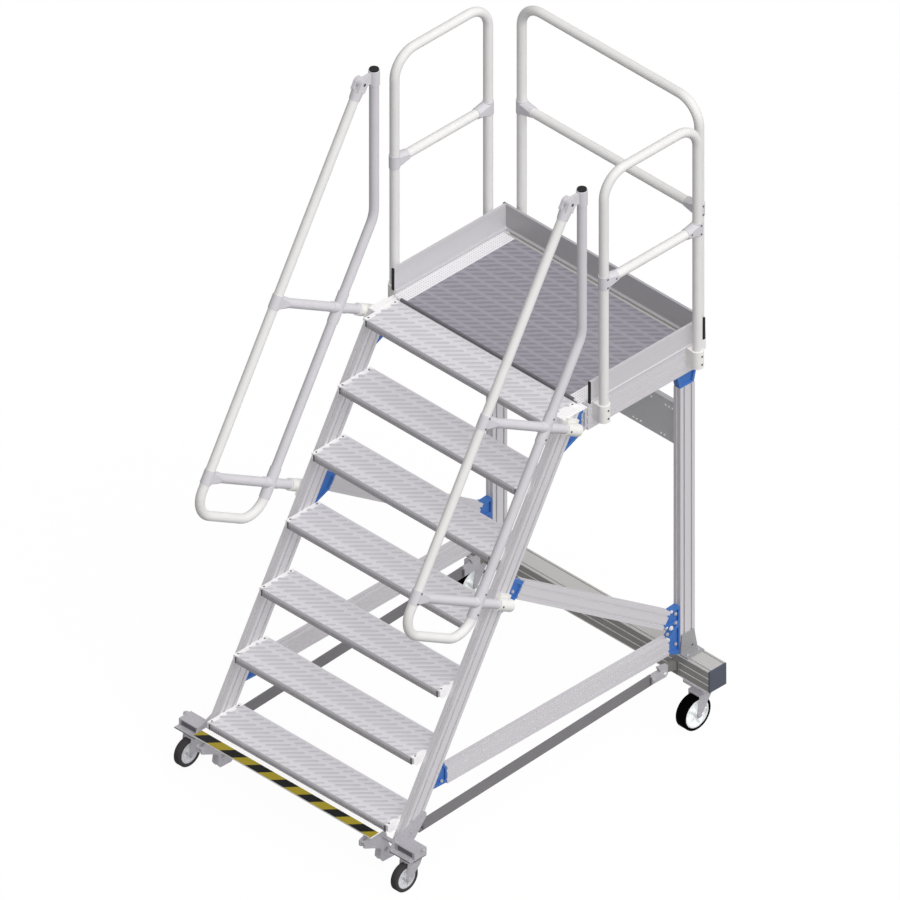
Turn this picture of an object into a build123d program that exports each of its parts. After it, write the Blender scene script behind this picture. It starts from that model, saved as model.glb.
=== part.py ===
from build123d import *
import os
from math import cos, radians, sin, tan

# Mobile platform steps: seven treads at 60 degrees, a guarded platform and four castors.
# X runs across the flight, Y runs from the foot of the flight to the back, Z is up, in mm.
# Y = 0 is first set at the nose of the lowest tread; main() then centres the whole part.

# Flight
tread_count = 7
riser = 250.0
slope = 60.0
tread_depth = 180.0
tread_height = 32.0
tread_skin = 5.0
tread_web = 5.0
tread_cells = 4
flight_width = 1000.0
end_plate = 20.0
end_plate_height = 38.0
end_plate_recess = 3.0
end_plate_bevel = 10.0
end_plate_edge = 12.0

# Slotted aluminium profile
rail_width = 38.0
rail_depth = 80.0
slot_width = 9.0
slot_depth = 7.0
slot_pitch = 40.0
nosing_to_stringer = 59.0
stringer_foot_z = 168.0
head_plate = 7.0

# Base and posts
post_foot_z = 300.0
post_inset = 110.0
beam_rise = 67.0
brace_angle = 34.4
brace_top_z = 1050.0
brace_top_gap = 75.6
brace_gap = 74.0
beam_gap = 62.0
beam_start_gap = 40.0
traverse_set_forward = 6.0
traverse_overhang = 79.0
traverse_depth = 94.0
traverse_height = 100.0
traverse_wall = 5.0
traverse_groove = 7.0
traverse_ledges = ((30.0, 66.0), (70.0, 96.0))  # low and high edge of each groove over the underside
traverse_top_slot = 6.0
traverse_top_slot_edge = 11.0
traverse_top_slot_depth = 4.0
traverse_cap = 7.0
cross_plate_drop = 164.0
cross_plate_height = 195.0
cross_plate_sheet = 4.0
cross_plate_flange = 22.0
cross_plate_set_back = 20.0
gusset_height = 92.0
gusset_reach = 46.0
gusset_sheet = 6.0
gusset_inset = 1.0
gusset_toe = 10.0
gusset_shoulder = 9.0

# Platform
deck_over_tread = 12.0
deck_panel = 22.0
deck_gap = 2.0
platform_length = 642.0
side_beam_height = 124.0
side_beam_slots = 3
side_beam_set_back = 20.0
side_beam_drop = 6.0
cross_beam_height = 80.0
strip_width = 65.0
strip_sheet = 3.0
strip_inset = 50.0
toe_height = 102.0
toe_board = 11.0
toe_bead = 5.0
toe_recess = 3.0
toe_head = 20.0
toe_foot = 14.0
toe_foot_sheet = 3.0
toe_cap = 6.0

# Tubes of the guard rails and the stair rails
tube = 40.0
tube_fit = 0.3
guard_offset = 41.0
guard_height = 1076.0
guard_mid_share = 0.537
guard_bend = 110.0
guard_front_inset = 67.0
guard_back_inset = 57.0
guard_rear_inset = 47.0
socket_height = 80.0
socket_wall = 6.0
socket_floor = 8.0
rail_clear = 37.0
rail_offset = 480.0
knee_offset = 82.0
loop_start = 827.0
loop_bend = 100.0
lower_cross = 988.0
upper_cross = 1740.0
upright_gap = 50.0
upright_bend = 150.0
tube_gap = 2.0

# Fittings of the tubes
sleeve_wall = 2.8
sleeve_length = 130.0
branch_length = 44.0
branch_step = 0.8
web_half = 1.7
tee_half = 30.0
tee_flare = 32.0
tee_floor = 6.0
cup_floor = 14.0
cup_mouth = 20.0
cup_tail = 16.0
cup_foot_length = 66.0
cup_foot_side = 9.0
cup_foot = 16.0
cup_foot_shift = 6.0
cap_length = 5.0
head_drop = 27.0
head_grip = 37.0
head_throat = 35.0
head_radius = 23.0
head_half = 22.0
head_flare = 26.0
lug_half = 7.0
lug_radius = 20.0
lug_gap = 0.5
lug_pin = 6.0
collar_length = 66.0
collar_wall = 3.4
collar_edge = 3.0

# Connectors between the profiles
connector_width = 30.0
connector_plate = 10.0
connector_edge = 4.0
connector_split = 0.3
connector_sink = 9.0
connector_field = 0.72
stringer_beam_seat = (-32.0, 73.0)
stringer_brace_seat = (-65.0, 70.0)
post_brace_seat = (-42.0, 33.0)
platform_seat_drop = 49.0
post_head_splay = 14.0

# Tie bars
tie_bar_height = 50.0
tie_bar_sheet = 8.0
tie_front_y = 150.0
tie_front_z = 179.0
tie_rear_z = 243.0
tie_bar_gap = 134.0
tie_eye_gap = 72.0
tie_eye = 16.0
tie_clevis_half = 13.0
tie_clevis_lap = 14.0
tie_lug_half = 9.0
tie_pad = 6.0
tie_pin_radius = 9.0

# Foot bar, its levers and their shafts
treadle_inset = 10.0
treadle_front_y = -86.0
treadle_back_y = -18.0
treadle_top_z = 232.0
treadle_sheet = 6.0
treadle_rise = 3.0
treadle_axis_y = 10.0
treadle_axis_z = 178.0
treadle_shaft_radius = 9.0
treadle_shaft_end = 20.0
lever_inset = 50.0
lever_half = 16.0
lever_sheet = 8.0
lever_round = 4.0
lever_seat = (-60.0, -20.0)
lever_window = (24.0, 110.0, 12.0)  # Y, Z and radius
lever_spacer = (-84.0, 186.0, 8.0)  # Y, Z and radius

# Castors
front_castor_out = 62.0
rear_castor_out = 82.0
fork_sheet = 4.0
fork_side_gap = 5.0
fork_crown_gap = 8.0
swivel_gap = 0.5
swivel_disc = 8.0
hub_gap = 0.5
hub_wall = 8.0
rim_sheet = 6.0
rim_web = 3.0
rim_ribs = 5
rib_sheet = 3.0
axle = 12.0
axle_head = 4.0
king_pin = 14.0
pin_fit = 0.3
plate_round = 12.0

# Front castor brackets
bracket_sheet = 5.0
bracket_overhang = 52.0
bracket_top_z = 195.0
bracket_lip_z = 165.0
bracket_front_y = -30.0
bracket_wall_y = -5.0
bracket_back_y = 62.0
bracket_window = (20.0, 13.0, 3.0)  # inner, outer and upper and lower margin
bracket_ear = (4.0, 40.0, 13.0)  # reach past the shelf, Y and radius
cheek_top = (148.0, 243.0, 23.0)  # Y, Z and radius
cheek_low_z = 155.0

# Worked out from the driving sizes
going = riser / tan(radians(slope))
inner_x = flight_width / 2
outer_x = inner_x + rail_width
rail_centre_x = inner_x + rail_width / 2
deck_z = riser * tread_count + deck_over_tread
deck_front_y = going * (tread_count - 1) + tread_depth + deck_gap
platform_back_y = deck_front_y + platform_length
side_beam_front_y = deck_front_y + side_beam_set_back
post_front_y = platform_back_y - post_inset
post_y = post_front_y + rail_depth / 2
beam_z = post_foot_z + beam_rise
beam_top_z = deck_z - side_beam_drop
side_beam_z = beam_top_z - side_beam_height
traverse_y = post_front_y - traverse_set_forward
traverse_z = post_foot_z - traverse_height
traverse_reach = outer_x + rear_castor_out + traverse_overhang
cross_plate_z = side_beam_z - cross_plate_drop - cross_plate_height
strip_offset = inner_x - strip_inset
toe_top_z = deck_z + toe_height
toe_front_y = side_beam_front_y + toe_cap
guard_x = outer_x + guard_offset
guard_rear_x = outer_x - guard_rear_inset
guard_rear_y = platform_back_y + guard_offset
guard_front_y = deck_front_y + guard_front_inset
guard_back_y = platform_back_y - guard_back_inset
guard_top_z = deck_z + guard_height
guard_mid_z = deck_z + guard_height * guard_mid_share
socket_foot_z = beam_top_z - socket_height
stair_rail_x = outer_x + rail_clear
upright_y = deck_front_y - upright_gap
upright_top_z = guard_top_z
sleeve_radius = tube / 2 + sleeve_wall
bore = tube / 2 + tube_fit
tee_seat = sleeve_radius + tee_floor
head_z = upright_top_z - head_drop
head_pivot = (head_z - riser - rail_offset * cos(radians(slope))) / sin(radians(slope))
rail_top = head_pivot - head_throat
stringer_back = nosing_to_stringer + rail_depth
brace_top_y = (brace_top_z - riser) / tan(radians(slope)) + stringer_back / sin(radians(slope)) + brace_top_gap
tie_bar_x = rail_centre_x
treadle_x = inner_x - treadle_inset
lever_x = inner_x - lever_inset
bracket_reach = outer_x + front_castor_out + bracket_overhang
up_slope = Vector(0, cos(radians(slope)), sin(radians(slope)))
off_slope = Vector(0, -sin(radians(slope)), cos(radians(slope)))

# Castors: one table each, all sizes in mm. The fork's sections go from the crown down to the axle, and
# their columns are: share of the height, share of the trail, width, length and corner radius.
front_castor = dict(x=outer_x + front_castor_out, swivel_y=28.0, trail=38.0, wheel=125.0, tread=32.0,
                    rim=92.0,
                    plate_x=100.0, plate_y=66.0, plate=6.0, plate_top=bracket_lip_z - bracket_sheet,
                    fork=((1.0, 0.0, 84.0, 84.0, 38.0), (0.78, 0.15, 78.0, 76.0, 30.0),
                          (0.0, 1.0, 50.0, 32.0, 12.0)))
rear_castor = dict(x=outer_x + rear_castor_out, swivel_y=post_y + 1.5, trail=53.0, wheel=150.0, tread=50.0,
                   rim=124.0, plate_x=124.0, plate_y=110.0, plate=10.0, plate_top=traverse_z,
                   fork=((1.0, 0.27, 74.0, 78.0, 16.0), (0.85, 0.3, 72.0, 74.0, 16.0),
                         (0.0, 1.0, 68.0, 32.0, 12.0)))


def on_slope(along, out):
    """Y and Z of a point measured along the nosing line, and out from it at right angles."""
    y = along * cos(radians(slope)) - out * sin(radians(slope))
    z = riser + along * sin(radians(slope)) + out * cos(radians(slope))
    return y, z


def stringer_y(z, behind):
    """Y on a line that lies behind the nosing line by the given distance, at height z."""
    return (z - riser) / tan(radians(slope)) + behind / sin(radians(slope))


def prism(points, x_start, x_end):
    """A side outline in Y and Z, drawn out along X."""
    face = Plane.YZ * make_face(Polyline(*points, close=True))
    return Pos(x_start, 0, 0) * extrude(face, amount=x_end - x_start)


def block(x, y, z):
    """A box from its low and high limits on each axis."""
    size = Box(x[1] - x[0], y[1] - y[0], z[1] - z[0])
    return Pos((x[0] + x[1]) / 2, (y[0] + y[1]) / 2, (z[0] + z[1]) / 2) * size


def rod(start, end, radius):
    """A round bar between two points."""
    axis = Vector(end) - Vector(start)
    return extrude(Plane(origin=start, z_dir=axis) * Circle(radius), amount=axis.length)


def taper(start, end, start_radius, end_radius):
    """A round bar between two points that narrows or widens evenly."""
    axis = Vector(end) - Vector(start)
    shape = Cone(start_radius, end_radius, axis.length, align=(Align.CENTER, Align.CENTER, Align.MIN))
    return Plane(origin=start, z_dir=axis) * shape


def bent_tube(points, bends, radius):
    """A round bar along straight runs that are joined by arcs."""
    path = FilletPolyline(*points, radius=bends)
    start = Plane(origin=path @ 0, z_dir=path % 0)
    return sweep(start * Circle(radius), path=path)


def mirrored(shape):
    """The same piece on the other side of the flight."""
    return mirror(shape, about=Plane.YZ)


def slotted_section(width, depth, slots):
    """Profile section: slots in both broad faces and one in each narrow face."""
    section = Rectangle(width, depth)
    first = -(slots - 1) / 2 * slot_pitch
    for number in range(slots):
        place = first + number * slot_pitch
        section -= Pos(width / 2 - slot_depth / 2, place) * Rectangle(slot_depth, slot_width)
        section -= Pos(-width / 2 + slot_depth / 2, place) * Rectangle(slot_depth, slot_width)
    section -= Pos(0, depth / 2 - slot_depth / 2) * Rectangle(slot_width, slot_depth)
    section -= Pos(0, -depth / 2 + slot_depth / 2) * Rectangle(slot_width, slot_depth)
    return section


def side_rail(start, end, x, slots=2, depth=rail_depth):
    """A slotted profile between two Y, Z points, its narrow way along X."""
    low = Vector(x, *start)
    axis = Vector(x, *end) - low
    section = slotted_section(rail_width, depth, slots)
    return extrude(Plane(origin=low, x_dir=(1, 0, 0), z_dir=axis) * section, amount=axis.length)


# Flight
def stringer():
    behind = nosing_to_stringer + rail_depth / 2
    top_z = riser * tread_count - head_plate
    low = on_slope((stringer_foot_z - riser) / sin(radians(slope)) - rail_depth, -behind)
    high = on_slope((top_z - riser) / sin(radians(slope)) + 2 * rail_depth, -behind)
    rail = side_rail(low, high, rail_centre_x)
    keep = block((0, flight_width), (-flight_width, 2 * flight_width), (stringer_foot_z, top_z))
    return rail & keep


def stringer_head():
    """Plate that closes the sloping profile, level with the top tread."""
    top_z = riser * tread_count
    front = stringer_y(top_z - head_plate, nosing_to_stringer)
    back = stringer_y(top_z - head_plate, stringer_back)
    return block((inner_x, outer_x), (front, back), (top_z - head_plate, top_z))


def tread(number):
    """Hollow-backed plank: a skin, a deep nose and webs underneath."""
    nose_y = going * number
    top_z = riser * (number + 1)
    half = inner_x - end_plate
    plank = block((-half, half), (nose_y, nose_y + tread_depth), (top_z - tread_height, top_z))
    cell = (tread_depth - tread_web) / tread_cells
    for place in range(tread_cells):
        low = nose_y + tread_web + place * cell
        plank -= block((-half, half), (low, low + cell - tread_web),
                       (top_z - tread_height, top_z - tread_skin))
    return plank


def tread_end(number):
    """End plate that bolts a tread to the stringer."""
    nose_y = going * number
    top_z = riser * (number + 1)
    low_z = top_z - end_plate_height
    outline = [(nose_y, low_z + end_plate_bevel), (nose_y + end_plate_bevel, low_z),
               (nose_y + tread_depth, low_z),
               (nose_y + tread_depth, top_z), (nose_y, top_z)]
    plate = prism(outline, inner_x - end_plate, inner_x)
    recess = block((inner_x - end_plate, inner_x - end_plate_recess),
                   (nose_y + end_plate_edge, nose_y + tread_depth - end_plate_edge),
                   (low_z, top_z - tread_height))
    return plate - recess


# Base and posts
def rear_post():
    return side_rail((post_y, post_foot_z), (post_y, side_beam_z - beam_gap), rail_centre_x)


def base_beam():
    start_y = stringer_y(beam_z + rail_depth / 2, stringer_back) + beam_start_gap
    return side_rail((start_y, beam_z), (post_front_y - beam_gap, beam_z), rail_centre_x)


def brace_ends():
    """Y and Z of the two ends of the diagonal brace."""
    run = post_front_y - brace_gap - brace_top_y
    low = (brace_top_y + run, brace_top_z - run * tan(radians(brace_angle)))
    return (brace_top_y, brace_top_z), low


def brace():
    high, low = brace_ends()
    return side_rail(high, low, rail_centre_x)


def rear_traverse():
    """Box section with two deep grooves along its front and back, and two narrow ones on top."""
    inside = Rectangle(traverse_depth - 2 * (traverse_wall + traverse_groove),
                       traverse_height - 2 * traverse_wall - traverse_top_slot_depth)
    section = Rectangle(traverse_depth, traverse_height) - Pos(0, -traverse_top_slot_depth / 2) * inside
    for side in (-1, 1):
        for low, high in traverse_ledges:
            y = side * (traverse_depth - traverse_groove) / 2
            z = (low + high - traverse_height) / 2
            section -= Pos(y, z) * Rectangle(traverse_groove, high - low)
        y = side * (traverse_depth / 2 - traverse_top_slot_edge)
        z = (traverse_height - traverse_top_slot_depth) / 2
        section -= Pos(y, z) * Rectangle(traverse_top_slot, traverse_top_slot_depth)
    place = Plane(origin=(-traverse_reach, traverse_y + traverse_depth / 2,
                          traverse_z + traverse_height / 2),
                  x_dir=(0, 1, 0), z_dir=(1, 0, 0))
    return extrude(place * section, amount=2 * traverse_reach)


def traverse_end_cap():
    y = (traverse_y, traverse_y + traverse_depth)
    z = (traverse_z, traverse_z + traverse_height)
    cap = block((traverse_reach, traverse_reach + traverse_cap), y, z)
    return fillet(cap.edges().group_by(Axis.X)[-1], radius=3.0)


def rear_cross_plate():
    """Folded sheet between the posts, with a flange at the top and at the foot."""
    top_z = cross_plate_z + cross_plate_height
    face_y = post_y - cross_plate_set_back
    outline = [(face_y, cross_plate_z), (face_y + cross_plate_flange, cross_plate_z),
               (face_y + cross_plate_flange, cross_plate_z + cross_plate_sheet),
               (face_y + cross_plate_sheet, cross_plate_z + cross_plate_sheet),
               (face_y + cross_plate_sheet, top_z - cross_plate_sheet),
               (face_y + cross_plate_flange, top_z - cross_plate_sheet),
               (face_y + cross_plate_flange, top_z), (face_y, top_z)]
    return prism(outline, -inner_x, inner_x)


def post_gusset():
    """Foot bracket: a plate on the post's outer face and a flange on the traverse."""
    front = traverse_y + gusset_inset
    back = traverse_y + traverse_depth - gusset_inset
    top_z = post_foot_z + gusset_height
    upright = prism([(front, post_foot_z), (back, post_foot_z), (back, post_foot_z + gusset_toe),
                     (post_front_y + rail_depth - gusset_shoulder, top_z),
                     (post_front_y + gusset_shoulder / 3, top_z)], outer_x, outer_x + gusset_sheet)
    foot = block((outer_x, outer_x + gusset_reach), (front, back),
                 (post_foot_z, post_foot_z + gusset_sheet))
    return upright + foot


# Platform
def side_beam():
    """Deep profile with three slots, laid along the side of the platform."""
    z = side_beam_z + side_beam_height / 2
    return side_rail((side_beam_front_y, z), (platform_back_y, z), rail_centre_x, side_beam_slots,
                     side_beam_height)


def cross_beam(y, top_z):
    """Profile across the platform, between the two side beams."""
    section = slotted_section(rail_width, cross_beam_height, 2)
    place = Plane(origin=(-inner_x, y, top_z - cross_beam_height / 2), x_dir=(0, 1, 0), z_dir=(1, 0, 0))
    return extrude(place * section, amount=flight_width)


def deck_panel_piece():
    """Platform board on the cross beams, between the two edge strips."""
    back = platform_back_y - rail_width
    return block((-strip_offset, strip_offset), (deck_front_y, back), (deck_z - deck_panel, deck_z))


def deck_strip():
    """Edge strip: a channel on the cross beams, with a lip that lies on the side beam."""
    back = platform_back_y - rail_width
    y = (deck_front_y, back)
    strip = block((strip_offset, strip_offset + strip_width), y, (beam_top_z, deck_z))
    for leg in (strip_offset, inner_x - strip_sheet):
        strip += block((leg, leg + strip_sheet), y, (deck_z - deck_panel, beam_top_z))
    return strip


def toe_outline(face):
    """Section of a toe board: a board with two beads, on a foot that lies on the beam."""
    line_z = beam_top_z + 2 * toe_foot_sheet
    out = face + toe_board
    web = face + toe_foot_sheet
    return [(face - toe_foot, beam_top_z), (web, beam_top_z), (web, line_z), (out, line_z),
            (out, line_z + toe_bead), (out - toe_recess, line_z + toe_bead + toe_recess),
            (out - toe_recess, toe_top_z - toe_head - toe_recess), (out, toe_top_z - toe_head),
            (out, toe_top_z), (face, toe_top_z),
            (face, beam_top_z + toe_foot_sheet), (face - toe_foot, beam_top_z + toe_foot_sheet)]


def side_toe_board():
    points = toe_outline(outer_x)
    face = Plane.XZ * make_face(Polyline(*points, close=True))
    return Pos(0, toe_front_y, 0) * extrude(face, amount=toe_front_y - platform_back_y)


def rear_toe_board():
    points = toe_outline(platform_back_y)
    reach = outer_x + toe_board
    board = prism(points, -reach, reach)
    for side in ((-reach, toe_foot - outer_x), (outer_x - toe_foot, reach)):
        board -= block(side, (platform_back_y - toe_foot, platform_back_y), (beam_top_z, toe_top_z))
    return board


def toe_cap_piece():
    """Black end caps on the front and rear ends of the toe boards, right side."""
    low_z = beam_top_z + 2 * toe_foot_sheet
    x = (outer_x, outer_x + toe_board)
    front = block(x, (side_beam_front_y, toe_front_y), (low_z, toe_top_z))
    end_x = outer_x + toe_board
    y = (platform_back_y, platform_back_y + toe_board)
    side = block((end_x, end_x + toe_cap), y, (low_z, toe_top_z))
    return front, side


# Guard rails
def side_hoop():
    foot = socket_foot_z + socket_floor
    points = [(guard_x, guard_front_y, foot), (guard_x, guard_front_y, guard_top_z),
              (guard_x, guard_back_y, guard_top_z), (guard_x, guard_back_y, foot)]
    return bent_tube(points, guard_bend, tube / 2)


def rear_hoop():
    foot = socket_foot_z + socket_floor
    points = [(-guard_rear_x, guard_rear_y, foot), (-guard_rear_x, guard_rear_y, guard_top_z),
              (guard_rear_x, guard_rear_y, guard_top_z), (guard_rear_x, guard_rear_y, foot)]
    return bent_tube(points, guard_bend, tube / 2)


def tee(centre, run, branch):
    """Clamp fitting: a thin collar round one tube that flares into a cup for the tube that branches off."""
    middle = Vector(centre)
    reach = sleeve_radius + branch_length
    body = rod(middle - run * tee_half, middle + run * tee_half, sleeve_radius)
    slab = Box(2 * tee_flare, 2 * (sleeve_radius - branch_step), 2 * reach)
    body += taper(middle, middle + branch * reach, tee_flare, sleeve_radius) & (
        Plane(origin=middle, x_dir=run, z_dir=branch) * slab)
    body -= rod(middle - run * 2 * tee_half, middle + run * 2 * tee_half, bore)
    return body - rod(middle + branch * tee_seat, middle + branch * 2 * reach, bore)


def midrail(start, end):
    """Tube between the cups of two fittings."""
    low = Vector(start)
    high = Vector(end)
    inset = (high - low).normalized() * (tee_seat + tube_fit)
    return rod(low + inset, high - inset, tube / 2)


def post_socket(x, y, toward, seat):
    """Cast cup for the foot of a guard tube, with a block that bolts to the beam."""
    outer = tube / 2 + socket_wall
    side = outer - 2.0
    top = socket_foot_z + socket_height
    z = (socket_foot_z, top)
    cup = rod((x, y, socket_foot_z), (x, y, top), outer)
    cup += block((seat, x), (y - side, y + side), z) if toward == "x" else block((x - side, x + side),
                                                                                 (seat, y), z)
    return cup - rod((x, y, socket_foot_z + socket_floor), (x, y, top + socket_wall), bore)


# Stair rails
def slope_point(along, out, x=stair_rail_x):
    y, z = on_slope(along, out)
    return x, y, z


def stair_rail():
    """Hand rail and the lower return of the knee rail, bent from one tube."""
    end = lower_cross - tube / 2 - tube_gap
    points = [slope_point(rail_top, rail_offset), slope_point(loop_start, rail_offset),
              slope_point(loop_start, knee_offset), slope_point(end, knee_offset)]
    return bent_tube(points, loop_bend, tube / 2)


def knee_rail():
    """Knee rail between the two cross fittings, and its upright end beside the platform."""
    inset = tube / 2 + tube_gap
    lower = rod(slope_point(lower_cross + inset, knee_offset),
                slope_point(upper_cross - inset, knee_offset),
                tube / 2)
    knee_along = (upright_y + knee_offset * sin(radians(slope))) / cos(radians(slope))
    points = [slope_point(upper_cross + inset, knee_offset), slope_point(knee_along, knee_offset),
              (stair_rail_x, upright_y, upright_top_z)]
    return lower, bent_tube(points, upright_bend, tube / 2)


def cross_tubes(along):
    """Two short tubes square to the slope: rail to knee rail, and knee rail to bracket."""
    inset = tube / 2 + tube_gap
    bracket = -(nosing_to_stringer + cup_floor)
    outer = rod(slope_point(along, rail_offset - tee_seat - tube_fit),
                slope_point(along, knee_offset + inset),
                tube / 2)
    inner = rod(slope_point(along, knee_offset - inset), slope_point(along, bracket), tube / 2)
    return outer, inner


def cross_fitting(along):
    """Four-way casting where the cross tube meets the knee rail."""
    half = sleeve_length / 2
    web = tube / 2 + web_half
    middle = Vector(slope_point(along, knee_offset))
    body = rod(middle - up_slope * half, middle + up_slope * half, sleeve_radius)
    body += rod(middle - off_slope * branch_length, middle + off_slope * branch_length,
                sleeve_radius - branch_step)
    for arm, reach in ((up_slope, half), (up_slope * -1, half), (off_slope, half), (off_slope * -1, half)):
        body -= rod(middle + arm * web, middle + arm * 2 * reach, bore)
    return body


def rail_fitting(along):
    """Three-way casting where the cross tube meets the hand rail."""
    return tee(slope_point(along, rail_offset), up_slope, off_slope * -1)


def stringer_bracket(along):
    """White casting: a cup for the cross tube and a foot bolted to the stringer."""
    outer = tube / 2 + socket_wall
    mouth = cup_mouth - nosing_to_stringer
    seat = -(nosing_to_stringer + cup_floor)
    tail = -(stringer_back - cup_tail)
    body = rod(slope_point(along, mouth), slope_point(along, tail), outer)
    foot_plane = Plane(origin=slope_point(along, (seat + tail) / 2 - cup_foot_shift, outer_x),
                       x_dir=off_slope * -1, z_dir=(1, 0, 0))
    body += extrude(foot_plane * Rectangle(cup_foot_length, 2 * (outer + cup_foot_side)), amount=cup_foot)
    keep = block((outer_x, stair_rail_x + outer), (-flight_width, 2 * flight_width), (0, 2 * flight_width))
    body &= keep
    return body - rod(slope_point(along, seat), slope_point(along, mouth + cup_mouth), bore)


def rail_head():
    """Swivel head: a flared fork on the hand rail, pinned to the lug of a collar on the upright."""
    x = stair_rail_x
    pivot_y, pivot_z = on_slope(head_pivot, rail_offset)
    fork_foot = slope_point(rail_top - head_grip, rail_offset)
    fork_top = slope_point(rail_top + tee_floor, rail_offset)
    fork = taper(fork_foot, fork_top, sleeve_radius, head_flare)
    fork += rod((x - head_half, pivot_y, pivot_z), (x + head_half, pivot_y, pivot_z), head_radius)
    cheeks = Box(2 * head_half, 2 * (head_radius - branch_step), head_throat)
    fork += Plane(origin=slope_point(head_pivot - head_throat / 2, rail_offset), x_dir=(1, 0, 0),
                  z_dir=up_slope) * cheeks
    slot = Box(2 * (lug_half + lug_gap), 4 * head_radius, 4 * head_radius)
    fork -= Plane(origin=slope_point(rail_top + tee_floor + 2 * head_radius, rail_offset), x_dir=(1, 0, 0),
                  z_dir=up_slope) * slot
    fork -= rod(fork_foot, slope_point(rail_top + tube_fit, rail_offset), bore)
    fork += rod((x - head_half, pivot_y, pivot_z), (x + head_half, pivot_y, pivot_z), lug_pin)

    collar_top = upright_top_z - collar_edge
    collar_low = collar_top - collar_length
    collar = rod((x, upright_y, collar_low), (x, upright_y, collar_top), tube / 2 + collar_wall)
    collar += prism([(pivot_y, pivot_z - lug_radius), (upright_y, collar_low + lug_radius / 2),
                     (upright_y, collar_top - collar_edge), (pivot_y, pivot_z + lug_radius)],
                    x - lug_half, x + lug_half)
    collar += rod((x - lug_half, pivot_y, pivot_z), (x + lug_half, pivot_y, pivot_z), lug_radius)
    collar -= rod((x, upright_y, collar_low - tube), (x, upright_y, upright_top_z + tube), bore)
    collar -= rod((x - head_half, pivot_y, pivot_z), (x + head_half, pivot_y, pivot_z), lug_pin + pin_fit)
    return Compound(fork.solids() + collar.solids())


def upright_cap():
    foot = (stair_rail_x, upright_y, upright_top_z)
    return rod(foot, (stair_rail_x, upright_y, upright_top_z + cap_length), tube / 2)


# Connectors
def connector(outline):
    """Casting that joins two profiles, with a sunk field on both broad sides."""
    x = rail_centre_x - connector_width / 2
    body = prism(outline, x, x + connector_width)
    middle_y = sum(y for y, z in outline) / len(outline)
    middle_z = sum(z for y, z in outline) / len(outline)
    field = [(middle_y + (y - middle_y) * connector_field, middle_z + (z - middle_z) * connector_field)
             for y, z in outline]
    for side in (x, x + connector_width - connector_sink):
        body -= prism(field, side, side + connector_sink)
    return body


def rail_end(centre, angle, half):
    """The two corners of a profile's square end, at an angle above the level."""
    y, z = centre
    dy = half * sin(radians(angle))
    dz = half * cos(radians(angle))
    return (y - dy, z + dz), (y + dy, z - dz)


def connectors():
    """Blue joint pieces of one side: each fills the wedge between two profiles."""
    half = rail_depth / 2 - connector_edge
    beam_start = stringer_y(beam_z + rail_depth / 2, stringer_back) + beam_start_gap
    beam_end = post_front_y - beam_gap
    high, low = brace_ends()
    high_upper, high_lower = rail_end(high, -brace_angle, half)
    low_upper, low_lower = rail_end(low, -brace_angle, half)
    flange_y = post_front_y - connector_plate

    def on_stringer(z):
        return stringer_y(z, stringer_back), z

    below, above = stringer_beam_seat
    stringer_beam = [on_stringer(beam_z + below), on_stringer(beam_z + above),
                     (beam_start, beam_z + half), (beam_start, beam_z - half)]
    below, above = stringer_brace_seat
    stringer_brace = [on_stringer(brace_top_z + below), on_stringer(brace_top_z + above), high_upper,
                      high_lower]
    below, above = post_brace_seat
    split_z = low[1] + below
    post_brace = [(post_front_y, split_z), (post_front_y, low[1] + above), (flange_y, low[1] + above),
                  low_upper, low_lower, (flange_y, split_z)]
    foot_z = post_foot_z + connector_edge
    post_beam = [(post_front_y, foot_z), (post_front_y, split_z - connector_split),
                 (flange_y, split_z - connector_split), (beam_end, beam_z + half),
                 (beam_end, beam_z - half),
                 (flange_y, foot_z)]
    post_top = side_beam_z - beam_gap
    post_head = [(post_front_y + gusset_inset, post_top),
                 (post_front_y + rail_depth - gusset_inset, post_top),
                 (post_front_y + rail_depth + post_head_splay, side_beam_z),
                 (post_front_y - post_head_splay, side_beam_z)]
    high_z = riser * tread_count - head_plate - tube_gap
    stringer_platform = [on_stringer(side_beam_z - platform_seat_drop), on_stringer(high_z),
                         (side_beam_front_y, high_z), (side_beam_front_y, side_beam_z + connector_plate)]
    return [connector(outline) for outline in
            (stringer_beam, stringer_brace, post_brace, post_beam, post_head, stringer_platform)]


# Tie bars, front brackets and treadle
def tie_bar():
    """Flat bar with a clevis at its rear end, hung on a lug in front of the traverse."""
    half = tie_bar_height / 2
    z = tie_rear_z
    bar_end = traverse_y - tie_bar_gap
    eye_y = traverse_y - tie_eye_gap
    body = prism([(tie_front_y, tie_front_z - half), (bar_end, z - half), (bar_end, z + half),
                  (tie_front_y, tie_front_z + half)],
                 tie_bar_x - tie_bar_sheet / 2, tie_bar_x + tie_bar_sheet / 2)
    across = (tie_bar_x - tie_clevis_half, tie_bar_x + tie_clevis_half)
    body += block(across, (bar_end - tie_clevis_lap, eye_y), (z - tie_eye, z + tie_eye))
    body += rod((across[0], eye_y, z), (across[1], eye_y, z), tie_eye)
    body += prism([(traverse_y, z - tie_eye), (traverse_y, z + 1.5 * tie_eye),
                   (eye_y - 2 * tie_eye, z + 2.5 * tie_eye),
                   (eye_y - tie_eye, z + tie_eye / 2), (eye_y + tie_eye / 2, z)],
                  tie_bar_x - tie_lug_half, tie_bar_x + tie_lug_half)
    pad = block((tie_bar_x - 2 * tie_lug_half, tie_bar_x + 2 * tie_lug_half),
                (traverse_y - tie_pad, traverse_y),
                (traverse_z + tie_lug_half, traverse_z + traverse_ledges[0][1] + tie_pad))
    return body + pad


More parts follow.
